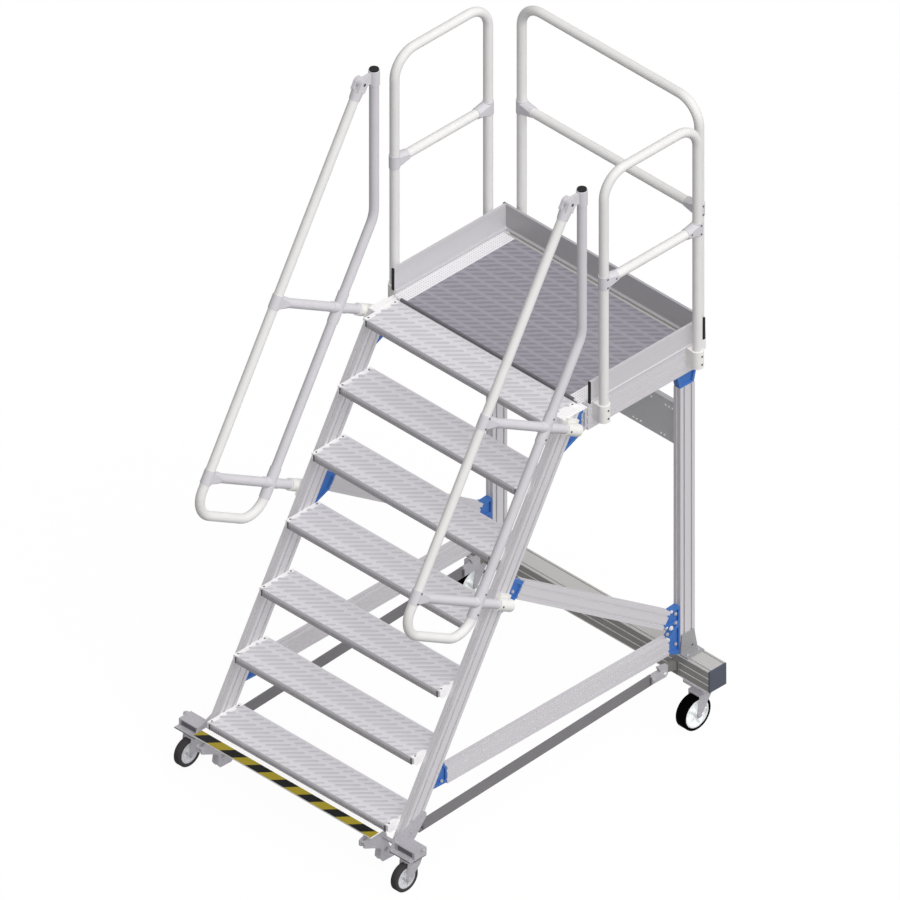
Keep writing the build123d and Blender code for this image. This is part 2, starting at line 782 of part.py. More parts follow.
def front_bracket():
    """Folded steel bracket: a cheek on the stringer and a stepped box that carries the castor."""
    sheet = bracket_sheet
    castor_end = (outer_x, bracket_reach)
    cheek_y, cheek_z, cheek_radius = cheek_top
    cheek = prism([(bracket_front_y, cheek_low_z), (bracket_front_y, bracket_lip_z + 2 * sheet),
                   (bracket_wall_y, bracket_top_z + 2 * sheet),
                   (cheek_y - 0.5 * cheek_radius, cheek_z + 0.86 * cheek_radius),
                   (cheek_y + 0.86 * cheek_radius, cheek_z - 0.5 * cheek_radius),
                   (bracket_back_y + 8 * sheet, cheek_low_z)],
                  outer_x, outer_x + sheet)
    cheek += rod((outer_x, cheek_y, cheek_z), (outer_x + sheet, cheek_y, cheek_z), cheek_radius)
    flange = block(castor_end, (bracket_front_y, bracket_back_y), (bracket_lip_z - sheet, bracket_lip_z))
    wall = block(castor_end, (bracket_wall_y, bracket_wall_y + sheet), (bracket_lip_z, bracket_top_z))
    shelf = block(castor_end, (bracket_wall_y, bracket_back_y), (bracket_top_z - sheet, bracket_top_z))
    side = block((bracket_reach - sheet, bracket_reach), (bracket_wall_y, bracket_back_y),
                 (bracket_lip_z, bracket_top_z))
    inner, outer, margin = bracket_window
    window = block((outer_x + inner, bracket_reach - outer),
                   (bracket_wall_y - sheet, bracket_wall_y + 2 * sheet),
                   (bracket_lip_z + margin, bracket_top_z - sheet))
    reach, ear_y, ear_radius = bracket_ear
    ear_x = bracket_reach + reach
    ear = rod((ear_x, ear_y, bracket_top_z - sheet), (ear_x, ear_y, bracket_top_z), ear_radius)
    return cheek + flange + (wall - window) + shelf + side + ear


def tie_pin():
    """Pin that carries the front end of the tie bar on the bracket's cheek."""
    y = tie_front_y + 2 * tie_pin_radius
    return rod((tie_bar_x + tie_bar_sheet / 2, y, tie_front_z), (outer_x, y, tie_front_z), tie_pin_radius)


def treadle():
    """Foot bar with a folded front edge."""
    top = treadle_top_z
    outline = [(treadle_front_y, top - treadle_sheet), (treadle_back_y, top - treadle_sheet + treadle_rise),
               (treadle_back_y, top + treadle_rise), (treadle_front_y, top)]
    return prism(outline, -treadle_x, treadle_x)


def treadle_underside(y):
    """Height of the foot bar's underside at a given Y."""
    slant = treadle_rise / (treadle_back_y - treadle_front_y)
    return treadle_top_z - treadle_sheet + slant * (y - treadle_front_y)


def treadle_lever():
    """Two shaped plates and a spacer: an arm under the foot bar, an eye on the shaft and a windowed foot."""
    axis = (treadle_axis_y, treadle_axis_z)
    front, back = lever_seat
    outline = [(front, treadle_underside(front)), (back, treadle_underside(back)),
               (axis[0] + 16.0, axis[1] + 10.0), (axis[0] + 18.0, axis[1] - 14.0), (44.0, 120.0),
               (82.0, 72.0),
               (68.0, 58.0), (6.0, 60.0), (-8.0, 80.0), (-2.0, 126.0), (-40.0, 146.0), (-96.0, 172.0),
               (-96.0, 198.0), (-72.0, 206.0)]
    window_y, window_z, window_radius = lever_window
    spacer_y, spacer_z, spacer_radius = lever_spacer
    lever = rod((lever_x - lever_half, spacer_y, spacer_z), (lever_x + lever_half, spacer_y, spacer_z),
                spacer_radius)
    for start in (lever_x - lever_half, lever_x + lever_half - lever_sheet):
        plate = prism(outline, start, start + lever_sheet)
        lever += fillet(plate.edges().filter_by(Axis.X), radius=lever_round)
    across = (lever_x - 2 * lever_half, lever_x + 2 * lever_half)
    lever -= rod((across[0], window_y, window_z), (across[1], window_y, window_z), window_radius)
    return lever - rod((across[0], *axis), (across[1], *axis), treadle_shaft_radius + pin_fit)


def treadle_shaft():
    """Shaft stub from the bracket's cheek through both plates of one side's lever."""
    return rod((lever_x - treadle_shaft_end, treadle_axis_y, treadle_axis_z),
               (outer_x, treadle_axis_y, treadle_axis_z),
               treadle_shaft_radius)


# Castors
def castor_numbers(castor):
    """Heights that follow from a castor's own sizes."""
    radius = castor["wheel"] / 2
    under_plate = castor["plate_top"] - castor["plate"]
    crown_low = 2 * radius + fork_crown_gap
    leg_in = castor["tread"] / 2 + fork_side_gap
    return radius, under_plate, crown_low, leg_in


def castor_top(castor):
    """Mounting plate with the king pin hanging from it."""
    radius, under_plate, crown_low, leg_in = castor_numbers(castor)
    x = castor["x"]
    y = castor["swivel_y"]
    plate = block((x - castor["plate_x"] / 2, x + castor["plate_x"] / 2),
                  (y - castor["plate_y"] / 2, y + castor["plate_y"] / 2),
                  (under_plate, castor["plate_top"]))
    plate = fillet(plate.edges().filter_by(Axis.Z), radius=plate_round)
    return plate + rod((x, y, under_plate - swivel_disc), (x, y, under_plate), 2 * king_pin)


def castor_fork(castor):
    """Pressed fork: a rounded crown whose hollow legs taper down to the axle, and its swivel head."""
    radius, under_plate, crown_low, leg_in = castor_numbers(castor)
    x = castor["x"]
    y = castor["swivel_y"]
    axle_y = y - castor["trail"]
    toe = castor["fork"][-1][3] / 2
    low = radius - toe
    height = crown_low + fork_sheet - low

    def form(sheet, drop):
        sections = []
        for share, lean, width, length, corner in castor["fork"]:
            place = Pos(x, y - lean * castor["trail"], low + share * height - drop)
            sections.append(place * RectangleRounded(width - 2 * sheet, length - 2 * sheet, corner - sheet))
        return loft(sections, ruled=True)

    shell = form(0.0, 0.0) - form(fork_sheet, fork_sheet)
    reach = castor["wheel"]
    shell -= block((x - leg_in, x + leg_in), (y - reach, y + reach), (0, crown_low))
    keep = block((x - reach, x + reach), (y - reach, y + reach), (radius, crown_low + reach))
    keep += rod((x - reach, axle_y, radius), (x + reach, axle_y, radius), toe)
    fork = (shell & keep) + rod((x, y, crown_low), (x, y, under_plate - swivel_disc - swivel_gap),
                                2 * king_pin - 1.0)
    end = leg_in + fork_sheet + axle_head
    return fork + rod((x - end, axle_y, radius), (x + end, axle_y, radius), axle / 2)


def castor_rim(castor):
    """Wheel centre: rim ring, closed web with ribs, and hub."""
    radius, under_plate, crown_low, leg_in = castor_numbers(castor)
    x = castor["x"]
    axle_y = castor["swivel_y"] - castor["trail"]
    rim = castor["rim"] / 2
    half = castor["tread"] / 2 - tube_gap
    hub = leg_in - hub_gap

    def disc(outer, width):
        return rod((x - width, axle_y, radius), (x + width, axle_y, radius), outer)

    wheel = disc(rim, half) - disc(rim - rim_sheet, half + 1.0) + disc(rim - rim_sheet / 2, rim_web)
    wheel += disc(axle / 2 + hub_wall, hub)
    rib = Pos(0, rim / 2, 0) * Box(2 * (half - rim_web), rim - rim_sheet / 2, rib_sheet)
    for number in range(rim_ribs):
        wheel += Pos(x, axle_y, radius) * Rot(X=360.0 / rim_ribs * number) * rib
    return wheel - disc(axle / 2 + pin_fit, hub + 1.0)


def castor_tyre(castor):
    """Tyre with rounded shoulders, turned round the rim."""
    radius, under_plate, crown_low, leg_in = castor_numbers(castor)
    axle_y = castor["swivel_y"] - castor["trail"]
    half = castor["tread"] / 2
    rim = castor["rim"] / 2
    section = make_face(Polyline((-half + 1.0, rim), (half - 1.0, rim), (half, rim + 6.0),
                                 (half - 3.0, radius - 6.0),
                                 (half - 8.0, radius - 1.2), (0, radius), (-half + 8.0, radius - 1.2),
                                 (-half + 3.0, radius - 6.0), (-half, rim + 6.0), close=True))
    ring = revolve(Plane.XY * section, axis=Axis.X)
    return Pos(castor["x"], axle_y, radius) * ring


def both_sides(shapes):
    """The given pieces and their mirror images, as one group of separate solids."""
    group = []
    for shape in shapes:
        group += shape.solids() + mirrored(shape).solids()
    return Compound(group)


def main():
    nodes = {}

    def pair(name, shape):
        nodes[name + "_right"] = shape
        nodes[name + "_left"] = mirrored(shape)

    pair("stringer", stringer())
    for number in range(tread_count):
        nodes[f"tread_{number + 1}"] = tread(number)
    nodes["tread_ends"] = both_sides([tread_end(number) for number in range(tread_count)])
    nodes["stringer_heads"] = both_sides([stringer_head()])
    pair("rear_post", rear_post())
    nodes["rear_traverse"] = rear_traverse()
    nodes["traverse_caps"] = both_sides([traverse_end_cap()])
    nodes["base_beams"] = both_sides([base_beam()])
    nodes["braces"] = both_sides([brace()])
    nodes["rear_cross_plate"] = rear_cross_plate()
    nodes["post_gussets"] = both_sides([post_gusset()])
    pair("platform_beam", side_beam())
    front_beam_top = deck_z - deck_panel
    nodes["platform_cross_beams"] = Compound(
        cross_beam(side_beam_front_y + tube_gap + rail_width / 2, front_beam_top).solids()
        + cross_beam(platform_back_y - rail_width / 2, beam_top_z).solids())
    nodes["deck_panel"] = deck_panel_piece()
    nodes["deck_strips"] = both_sides([deck_strip()])
    pair("toe_board", side_toe_board())
    nodes["toe_board_rear"] = rear_toe_board()
    front_cap, side_cap = toe_cap_piece()
    nodes["black_caps"] = both_sides([front_cap, side_cap, upright_cap()])
    pair("guard_hoop", side_hoop())
    nodes["guard_hoop_rear"] = rear_hoop()

    side_front = (guard_x, guard_front_y, guard_mid_z)
    side_back = (guard_x, guard_back_y, guard_mid_z)
    rear_left = (-guard_rear_x, guard_rear_y, guard_mid_z)
    rear_right = (guard_rear_x, guard_rear_y, guard_mid_z)
    side_rail_tube = midrail(side_front, side_back)
    nodes["guard_midrails"] = Compound(both_sides([side_rail_tube]).solids() + midrail(rear_left,
                                                                                       rear_right).solids())
    up = Vector(0, 0, 1)
    nodes["guard_fittings"] = both_sides([tee(side_front, up, Vector(0, 1, 0)),
                                          tee(side_back, up, Vector(0, -1, 0)),
                                          tee(rear_right, up, Vector(-1, 0, 0))])
    nodes["guard_sockets"] = both_sides([post_socket(guard_x, guard_front_y, "x", outer_x),
                                         post_socket(guard_x, guard_back_y, "x", outer_x),
                                         post_socket(guard_rear_x, guard_rear_y, "y", platform_back_y)])
    pair("stair_rail", stair_rail())
    nodes["knee_rails"] = both_sides(knee_rail())
    nodes["cross_tubes"] = both_sides(cross_tubes(lower_cross) + cross_tubes(upper_cross))
    nodes["rail_fittings"] = both_sides([cross_fitting(lower_cross), cross_fitting(upper_cross),
                                         rail_fitting(lower_cross), rail_fitting(upper_cross)])
    nodes["rail_brackets"] = both_sides([stringer_bracket(lower_cross), stringer_bracket(upper_cross)])
    nodes["rail_heads"] = both_sides([rail_head()])
    nodes["blue_connectors"] = both_sides(connectors())
    nodes["tie_bars"] = both_sides([tie_bar(), tie_pin()])
    nodes["castor_brackets"] = both_sides([front_bracket()])
    nodes["treadle_bar"] = treadle()
    nodes["treadle_levers"] = both_sides([treadle_lever()])
    nodes["treadle_shafts"] = both_sides([treadle_shaft()])
    nodes["castor_plates"] = both_sides([castor_top(front_castor), castor_top(rear_castor)])
    for place, castor in (("front", front_castor), ("rear", rear_castor)):
        pair(f"castor_{place}_fork", castor_fork(castor))
        pair(f"castor_{place}_rim", castor_rim(castor))
        pair(f"castor_{place}_tyre", castor_tyre(castor))

    whole = Compound([solid for shape in nodes.values() for solid in shape.solids()]).bounding_box()
    centre_y = (whole.min.Y + whole.max.Y) / 2
    os.makedirs("parts", exist_ok=True)
    for name, shape in nodes.items():
        export_step(Pos(0, -centre_y, 0) * shape, f"parts/{name}.step")
    print("nodes", len(nodes), "centre_y", round(centre_y, 3))
    print("box", whole.min, whole.max)


main()
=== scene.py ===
# %% [markdown]
# Mobile platform steps: an aluminium access unit with a steep flight, a guarded platform and four castors.
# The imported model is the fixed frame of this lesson. Every piece that is added here sits on one of its parts
# and rides on one of its bodies, so the wheels still turn and swivel.
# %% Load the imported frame
from math import cos, pi, radians, sin, sqrt, tan

import bmesh
import bpy
from mathutils import Matrix, Vector


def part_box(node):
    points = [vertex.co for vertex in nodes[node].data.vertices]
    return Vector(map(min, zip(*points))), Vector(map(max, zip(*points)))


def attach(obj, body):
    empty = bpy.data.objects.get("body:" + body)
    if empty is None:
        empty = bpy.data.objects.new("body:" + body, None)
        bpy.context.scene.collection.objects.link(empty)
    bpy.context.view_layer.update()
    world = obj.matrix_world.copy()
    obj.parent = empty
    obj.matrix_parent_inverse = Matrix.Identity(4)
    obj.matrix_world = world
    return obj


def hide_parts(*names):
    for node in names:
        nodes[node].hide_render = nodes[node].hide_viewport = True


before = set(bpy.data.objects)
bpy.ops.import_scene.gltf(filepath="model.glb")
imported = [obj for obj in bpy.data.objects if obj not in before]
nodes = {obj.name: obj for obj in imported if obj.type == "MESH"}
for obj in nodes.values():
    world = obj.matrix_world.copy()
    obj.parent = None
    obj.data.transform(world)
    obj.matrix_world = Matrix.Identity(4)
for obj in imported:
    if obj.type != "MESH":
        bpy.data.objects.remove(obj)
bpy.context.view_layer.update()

# %% [markdown]
# A maker gives the places on such a unit in millimetres from the nose of its lowest tread. The frame is in
# metres from the middle of the whole box, so one small function turns a maker's place into a point there.
# The slope is a standard one, and the rise is read from the frame's treads, once for all later cells.
# %% Measure from the lowest nose
MM = 0.001
NOSE_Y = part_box("tread_1")[0].y
SLOPE = radians(60.0)
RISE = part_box("tread_2")[1].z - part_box("tread_1")[1].z
GOING = RISE / tan(SLOPE)
TREADS = [f"tread_{number}" for number in range(1, 8)]
SIDES = (-1, 1)


def at(x, y, z):
    """A place in millimetres from the lowest nose, as a point of the frame."""
    return Vector((x * MM, NOSE_Y + y * MM, z * MM))


def on_slope(x, along, out):
    """A place measured up the nosing line and square out from it, in millimetres."""
    y = along * cos(SLOPE) - out * sin(SLOPE)
    z = RISE / MM + along * sin(SLOPE) + out * cos(SLOPE)
    return at(x, y, z)


print("rise", round(RISE / MM), "going", round(GOING / MM))

# %% [markdown]
# The picture is a parallel view along equal angles to the three axes, as in a maker's catalogue. A
# perspective camera far away would come close, but an orthographic one gives it exactly, so that is used.
# %% Set up the camera
# lengths of the view in metres
VIEW_WIDTH = 3.521
VIEW_CENTRE = at(0.0, 843.2, 1380.0)
VIEW_DISTANCE = 9.0
VIEW_REACH = 60.0
toward_camera = Vector((1.0, -1.0, 1.0)).normalized()
camera = bpy.data.objects.new("camera", bpy.data.cameras.new("camera"))
camera.data.type = "ORTHO"
camera.data.ortho_scale = VIEW_WIDTH
camera.data.clip_end = VIEW_REACH
camera.location = VIEW_CENTRE + toward_camera * VIEW_DISTANCE
camera.rotation_mode = "QUATERNION"
camera.rotation_quaternion = (-toward_camera).to_track_quat("-Z", "Y")
bpy.context.scene.collection.objects.link(camera)
bpy.context.scene.camera = camera
bpy.context.scene.view_settings.view_transform = "Standard"
print("camera height", round(camera.location.z, 2))

# %% [markdown]
# A finish is a node tree. Colours are written as on a paint card, in sRGB hex, and one function makes them
# linear. One more function adds a node with its settings and links, which keeps each material short.
# %% Colour and node helpers


def linear(hex_colour):
    """An sRGB hex colour as linear RGBA."""
    parts = [int(hex_colour[start:start + 2], 16) / 255 for start in (0, 2, 4)]
    return tuple(c / 12.92 if c <= 0.04045 else ((c + 0.055) / 1.055) ** 2.4 for c in parts) + (1.0,)


def add(tree, kind, inputs=None, **settings):
    """Adds a node. Inputs hold a value or another node's output for each named socket."""
    node = tree.nodes.new("ShaderNode" + kind)
    for name, value in settings.items():
        setattr(node, name, value)
    for socket, value in (inputs or {}).items():
        if isinstance(value, bpy.types.NodeSocket):
            tree.links.new(value, node.inputs[socket])
        else:
            node.inputs[socket].default_value = value
    return node


def start_material(name, metallic, roughness, specular=0.18):
    """An empty surface: the material, its tree, its shader and the place on the object in metres."""
    material = bpy.data.materials.new(name)
    material.use_nodes = True
    tree = material.node_tree
    shader = tree.nodes["Principled BSDF"]
    shader.inputs["Metallic"].default_value = metallic
    shader.inputs["Roughness"].default_value = roughness
    shader.inputs["Specular IOR Level"].default_value = specular
    place = add(tree, "TexCoord").outputs["Object"]
    return material, tree, shader, place


def vary_colour(tree, shader, factor, low, high):
    """Runs the base colour between two hex colours by a factor."""
    mix = add(tree, "Mix", {"Factor": factor, "A": linear(low), "B": linear(high)}, data_type="RGBA")
    tree.links.new(mix.outputs["Result"], shader.inputs["Base Color"])


def add_bump(tree, shader, height, distance_mm, strength=1.0):
    """Bumps the surface by a height that is this many millimetres deep."""
    bump = add(tree, "Bump", {"Height": height, "Distance": distance_mm * MM, "Strength": strength})
    tree.links.new(bump.outputs["Normal"], shader.inputs["Normal"])


def vary_roughness(tree, shader, factor, low, high):
    """Runs the roughness between two values by a factor."""
    spread = add(tree, "MapRange", {"Value": factor, "To Min": low, "To Max": high})
    tree.links.new(spread.outputs["Result"], shader.inputs["Roughness"])


def past_plane(tree, axis, limit):
    """One where the place on the object lies past a limit on one axis, given in metres."""
    place = add(tree, "TexCoord").outputs["Object"]
    along = add(tree, "SeparateXYZ", {"Vector": place}).outputs[axis]
    return add(tree, "Math", {0: along, 1: limit}, operation="GREATER_THAN").outputs["Value"]


def recolour(material, factor, hex_colour):
    """Lays another colour over the base colour by a factor."""
    tree = material.node_tree
    shader = tree.nodes["Principled BSDF"]
    painted = shader.inputs["Base Color"].links[0].from_socket
    mix = add(tree, "Mix", {"Factor": factor, "A": painted, "B": linear(hex_colour)}, data_type="RGBA")
    tree.links.new(mix.outputs["Result"], shader.inputs["Base Color"])


def facing_share(tree, axis, limit):
    """One where the surface looks back along an axis, by more than a limit that is below zero."""
    normal = add(tree, "NewGeometry").outputs["True Normal"]
    along = add(tree, "SeparateXYZ", {"Vector": normal}).outputs[axis]
    return add(tree, "Math", {0: along, 1: limit}, operation="LESS_THAN").outputs["Value"]


def per_metre(size_mm):
    """The texture scale that makes one feature about this many millimetres wide."""
    return 1.0 / (size_mm * MM)


print("white is", linear("FFFFFF"))

# %% [markdown]
# The frame is extruded aluminium, anodised in a satin silver. Extruding drags faint lines along the bar and
# anodising leaves a soft, slightly cool grey. The lines are noise that is stretched along the bar, so each
# direction of bar gets its own copy of the finish.
# %% Anodised aluminium, extruded
LINE_WIDTH_MM = 4.0
LINE_LENGTH_MM = 3000.0
LEVEL = (0.0, 0.0, 0.0)
FLIGHT_TILT = (radians(30.0), 0.0, 0.0)
BRACE_TILT = (radians(34.4), 0.0, 0.0)
ALONG_X, ALONG_Y, ALONG_Z = 0, 1, 2


def anodised_extrusion(name, low, high, along, tilt=LEVEL):
    """Extruded bar with drawn lines along one axis, which may first be tilted."""
    material, tree, shader, place = start_material(name, 0.1, 0.45)
    scale = [per_metre(LINE_WIDTH_MM)] * 3
    scale[along] = per_metre(LINE_LENGTH_MM)
    turned = add(tree, "Mapping", {"Vector": place, "Rotation": tilt}).outputs["Vector"]
    stretched = add(tree, "Mapping", {"Vector": turned, "Scale": scale}).outputs["Vector"]
    lines = add(tree, "TexNoise", {"Vector": stretched, "Scale": 1.0, "Detail": 1.0}).outputs["Fac"]
    vary_colour(tree, shader, lines, low, high)
    vary_roughness(tree, shader, lines, 0.38, 0.5)
    add_bump(tree, shader, lines, 0.02)
    return material


PROFILE_LOW, PROFILE_HIGH = "CAC7CB", "D2D0D3"
profile_up = anodised_extrusion("anodised_aluminium_upright", PROFILE_LOW, PROFILE_HIGH, ALONG_Z)
profile_back = anodised_extrusion("anodised_aluminium_lengthwise", PROFILE_LOW, PROFILE_HIGH, ALONG_Y)
profile_across = anodised_extrusion("anodised_aluminium_crosswise", "B9B7B5", "C1BFBD", ALONG_X)
profile_flight = anodised_extrusion("anodised_aluminium_flight", PROFILE_LOW, PROFILE_HIGH, ALONG_Z,
                                    FLIGHT_TILT)
profile_brace = anodised_extrusion("anodised_aluminium_brace", PROFILE_LOW, PROFILE_HIGH, ALONG_Y, BRACE_TILT)
# The rear toe board takes a darker copy of the finish: painted shade for its face that looks to the front.
toe_across = anodised_extrusion("anodised_aluminium_toe_board_rear_painted_shade", "B0AEB1", "B8B6B9", ALONG_X)
toe_along = anodised_extrusion("anodised_aluminium_toe_board_side", "C5C2C6", "CDCBCE", ALONG_Y)
# Pale strips on the traverse's front are painted highlight for the lit ledges of its grooves.
ledge_highlight_paint = anodised_extrusion("anodised_aluminium_land_painted_highlight", "E0DFDD", "EAE9E7", ALONG_X)
# Dark strips between them are painted shade in the traverse's grooves.
groove_shade_paint = anodised_extrusion("anodised_aluminium_groove_painted_shade", "8E8C89", "989693", ALONG_X)
print("extruded finishes", sum(finish.name.startswith("anodised") for finish in bpy.data.materials))

# %% [markdown]
# Each tread is an extruded aluminium plank with a rippled, slip-resistant top and a toothed nose. Fine ribs
# run along the plank and are too fine to see from here, so they are drawn 6 mm apart as bump. The long
# raised ribs that do show are made as geometry in a later cell.
# %% Mill-finish aluminium, ribbed
RIB_PITCH_MM = 6.0
NOSE_TOP_MM, NOSE_DARK_MM = 4.0, 24.0
NOSE_FACING = -0.3


def ribbed_plank(name, low, high):
    """Ribbed plank whose fine ribs follow each other along Y."""
    material, tree, shader, place = start_material(name, 0.06, 0.48)
    split = add(tree, "SeparateXYZ", {"Vector": place})
    turn = add(tree, "Math", {0: split.outputs["Y"], 1: 2 * pi * per_metre(RIB_PITCH_MM)},
               operation="MULTIPLY").outputs["Value"]
    wave = add(tree, "Math", {0: turn}, operation="SINE").outputs["Value"]
    cloud = add(tree, "TexNoise", {"Vector": place, "Scale": per_metre(60.0), "Detail": 2.0}).outputs["Fac"]
    vary_colour(tree, shader, cloud, low, high)
    vary_roughness(tree, shader, cloud, 0.38, 0.52)
    add_bump(tree, shader, wave, 0.25, 0.6)
    return material


tread_metal = ribbed_plank("mill_aluminium_ribbed", "D9D7DB", "E0DEE2")
# The ribs take a darker copy of the plank's finish: painted shade for their flanks.
rib_shade_paint = ribbed_plank("mill_aluminium_rib_painted_shade", "C6C4C9", "CDCBD0")

# The teeth shade the nose more and more towards its foot, so it runs from pale at its top to dark there.
# Each tread lies one rise over the last, so the height on the object is wrapped at every rise.
nose_metal = ribbed_plank("mill_aluminium_nose", "D6D4D8", "DAD8DC")
for front_metal in (tread_metal, nose_metal):
    tree = front_metal.node_tree
    height = add(tree, "SeparateXYZ", {"Vector": add(tree, "TexCoord").outputs["Object"]}).outputs["Z"]
    under = add(tree, "Math", {0: height, 1: RISE + MM, 2: MM}, operation="WRAP").outputs["Value"]
    depth = add(tree, "MapRange", {"Value": under, "From Min": RISE - NOSE_TOP_MM * MM,
                                   "From Max": RISE - NOSE_DARK_MM * MM}).outputs["Result"]
    forward = facing_share(tree, "Y", NOSE_FACING)
    shaded = add(tree, "Math", {0: depth, 1: forward}, operation="MULTIPLY").outputs["Value"]
    recolour(front_metal, shaded, "98969A")
print(tread_metal.name, rib_shade_paint.name, nose_metal.name)

# %% [markdown]
# End plates, joint covers and sheet parts are satin aluminium without extrusion lines: they are cut from
# rolled sheet or cast. A soft cloud in colour and roughness keeps a broad face from looking like plastic.
# %% Satin aluminium sheet
CLOUD_MM = 45.0


def satin_sheet(name, low, high, metallic=0.08, roughness=0.42):
    """Rolled or cast metal with a soft cloud and a fine grain."""
    material, tree, shader, place = start_material(name, metallic, roughness)
    cloud = add(tree, "TexNoise", {"Vector": place, "Scale": per_metre(CLOUD_MM),
                                   "Detail": 4.0}).outputs["Fac"]
    grain = add(tree, "TexNoise", {"Vector": place, "Scale": per_metre(1.5), "Detail": 1.0}).outputs["Fac"]
    vary_colour(tree, shader, cloud, low, high)
    vary_roughness(tree, shader, cloud, roughness - 0.06, roughness + 0.08)
    add_bump(tree, shader, grain, 0.04)
    return material


end_plate_metal = satin_sheet("satin_aluminium_end_plate", "F3F1F2", "FBFAFA")
plate_metal = satin_sheet("satin_aluminium_sheet", "BEBEBF", "C8C8C9")
print(end_plate_metal.name, plate_metal.name)

# %% [markdown]
# Rails are bent aluminium tube in a warm pale finish, clamped by castings. Powder coat gives them an even
# colour with a very fine orange-peel skin, which shows as a soft, slightly broken highlight.
# %% Powder-coated tube and castings
PEEL_MM, PEEL_DEPTH_MM = 2.5, 0.03
# Planes that part the finishes of one node, in millimetres from the lowest nose
BEAM_SEAT_Y, POST_JOINT_Y, TIE_END_Y, TIE_LUG_Y = 1046.0, 1300.0, 1432.0, 1521.0
SEAT_FOOT_Z, SEAT_TOP_Z = 1600.0, 1737.0


def powder_coat(name, low, high, roughness=0.46, specular=0.14):
    """Even coat with a fine orange-peel skin."""
    material, tree, shader, place = start_material(name, 0.0, roughness, specular)
    cloud = add(tree, "TexNoise", {"Vector": place, "Scale": per_metre(90.0), "Detail": 2.0}).outputs["Fac"]
    skin = add(tree, "TexNoise", {"Vector": place, "Scale": per_metre(PEEL_MM), "Detail": 1.0}).outputs["Fac"]
    vary_colour(tree, shader, cloud, low, high)
    vary_roughness(tree, shader, skin, roughness - 0.05, roughness + 0.07)
    add_bump(tree, shader, skin, PEEL_DEPTH_MM)
    return material


white_tube = powder_coat("powder_coat_warm_white", "E1E0DE", "E9E8E7", specular=0.05)
silver_tube = powder_coat("powder_coat_silver_grey", "CDCBCF", "D5D3D7", specular=0.05)
white_cast = powder_coat("powder_coat_casting", "E6E5E1", "EEEDE9", 0.5)
blue_cast = powder_coat("powder_coat_signal_blue", "3E6CB0", "4D7ABF", 0.45)
dark_bar = powder_coat("coated_steel_dark", "777578", "828083", 0.5)

# The casting under the platform is bare where it seats on the beam and under the top tread's plate.
tree = blue_cast.node_tree
beside_beam = past_plane(tree, "Y", at(0.0, BEAM_SEAT_Y, 0.0).y)
under_post = past_plane(tree, "Y", at(0.0, POST_JOINT_Y, 0.0).y)
high_up = past_plane(tree, "Z", at(0.0, 0.0, SEAT_FOOT_Z).z)
on_top = past_plane(tree, "Z", at(0.0, 0.0, SEAT_TOP_Z).z)
not_post = add(tree, "Math", {0: beside_beam, 1: under_post}, operation="SUBTRACT").outputs["Value"]
seat = add(tree, "Math", {0: not_post, 1: high_up}, operation="MULTIPLY").outputs["Value"]
bare = add(tree, "Math", {0: seat, 1: on_top}, operation="MAXIMUM").outputs["Value"]
recolour(blue_cast, bare, "C4C2C6")
# The rear end of a tie bar is plated steel, and its lug is painted dark grey as shade, like the painted shade
# in the traverse's grooves behind it.
for start, end_colour in ((TIE_END_Y, "B4B2B6"), (TIE_LUG_Y, "7A7876")):
    recolour(dark_bar, past_plane(dark_bar.node_tree, "Y", at(0.0, start, 0.0).y), end_colour)
print("coated", white_tube.name, silver_tube.name, white_cast.name, blue_cast.name, dark_bar.name)

# %% [markdown]
# Castor forks and their brackets are pressed steel with a zinc coat. Zinc gives a blue-grey satin with soft
# patches, or spangles, about a centimetre wide. A Voronoi cell pattern draws them. The sunk drives of screws,
# gaps, recesses and rivets are small, so the satin finish of the sheet does for them in other greys: dark grey
# as painted shade for the drives, gaps and recesses, and pale for the rivets.
# %% Zinc-plated steel
SPANGLE_MM = 11.0


def zinc_steel(name, low, high, metallic=0.18):
    """Plated steel with spangles and a fine grain."""
    material, tree, shader, place = start_material(name, metallic, 0.4)
    cells = add(tree, "TexVoronoi", {"Vector": place, "Scale": per_metre(SPANGLE_MM)}).outputs["Distance"]
    grain = add(tree, "TexNoise", {"Vector": place, "Scale": per_metre(3.0), "Detail": 2.0}).outputs["Fac"]
    vary_colour(tree, shader, cells, low, high)
    vary_roughness(tree, shader, grain, 0.34, 0.5)
    add_bump(tree, shader, grain, 0.05)
    return material


zinc = zinc_steel("zinc_plated_steel", "ABA9AE", "B9B7BC")
grey_zinc = zinc_steel("zinc_plated_plate", "989899", "A4A4A6")
bright_zinc = zinc_steel("zinc_plated_bolt", "D5D5D8", "E4E4E6", 0.5)
# Screw heads painted dark grey: painted shade in their sunk drives.
drive_shade_paint = satin_sheet("painted_shade_screw_drive", "4A494C", "5C5B5E", 0.3, 0.5)
# Dark grey painted shade, for gaps and recesses.
shade_metal = satin_sheet("painted_shade_gap_and_edge", "646266", "6E6C70", 0.1, 0.5)
rivet_metal = satin_sheet("bare_aluminium_rivet", "EDEDED", "F6F6F6", 0.1, 0.4)
print(zinc.name, grey_zinc.name, bright_zinc.name, drive_shade_paint.name, shade_metal.name, rivet_metal.name)

# %% [markdown]
# The platform board is plywood faced with a grey-violet phenolic film, pressed with short ripples that lean
# at 45 degrees. The press plate is 200 mm long, and plain lines part its rows. The pattern is worked out from
# the place on the board: a wave along the diagonal, faded out near each plain line, in colour and in bump.
# %% Film-faced board with a pressed pattern
RIPPLE_PITCH_MM = 39.0
PLATE_MM = 200.0
PLAIN_LINES_MM = (40.0, 100.0, 160.0)
PLAIN_HALF_MM = 12.0
PLAIN_CLEAR_SHARE = 0.3
PLATE_START = at(0.0, 1057.0, 0.0).y
FIRST_RIPPLE = at(28.0, 1127.0, 0.0)


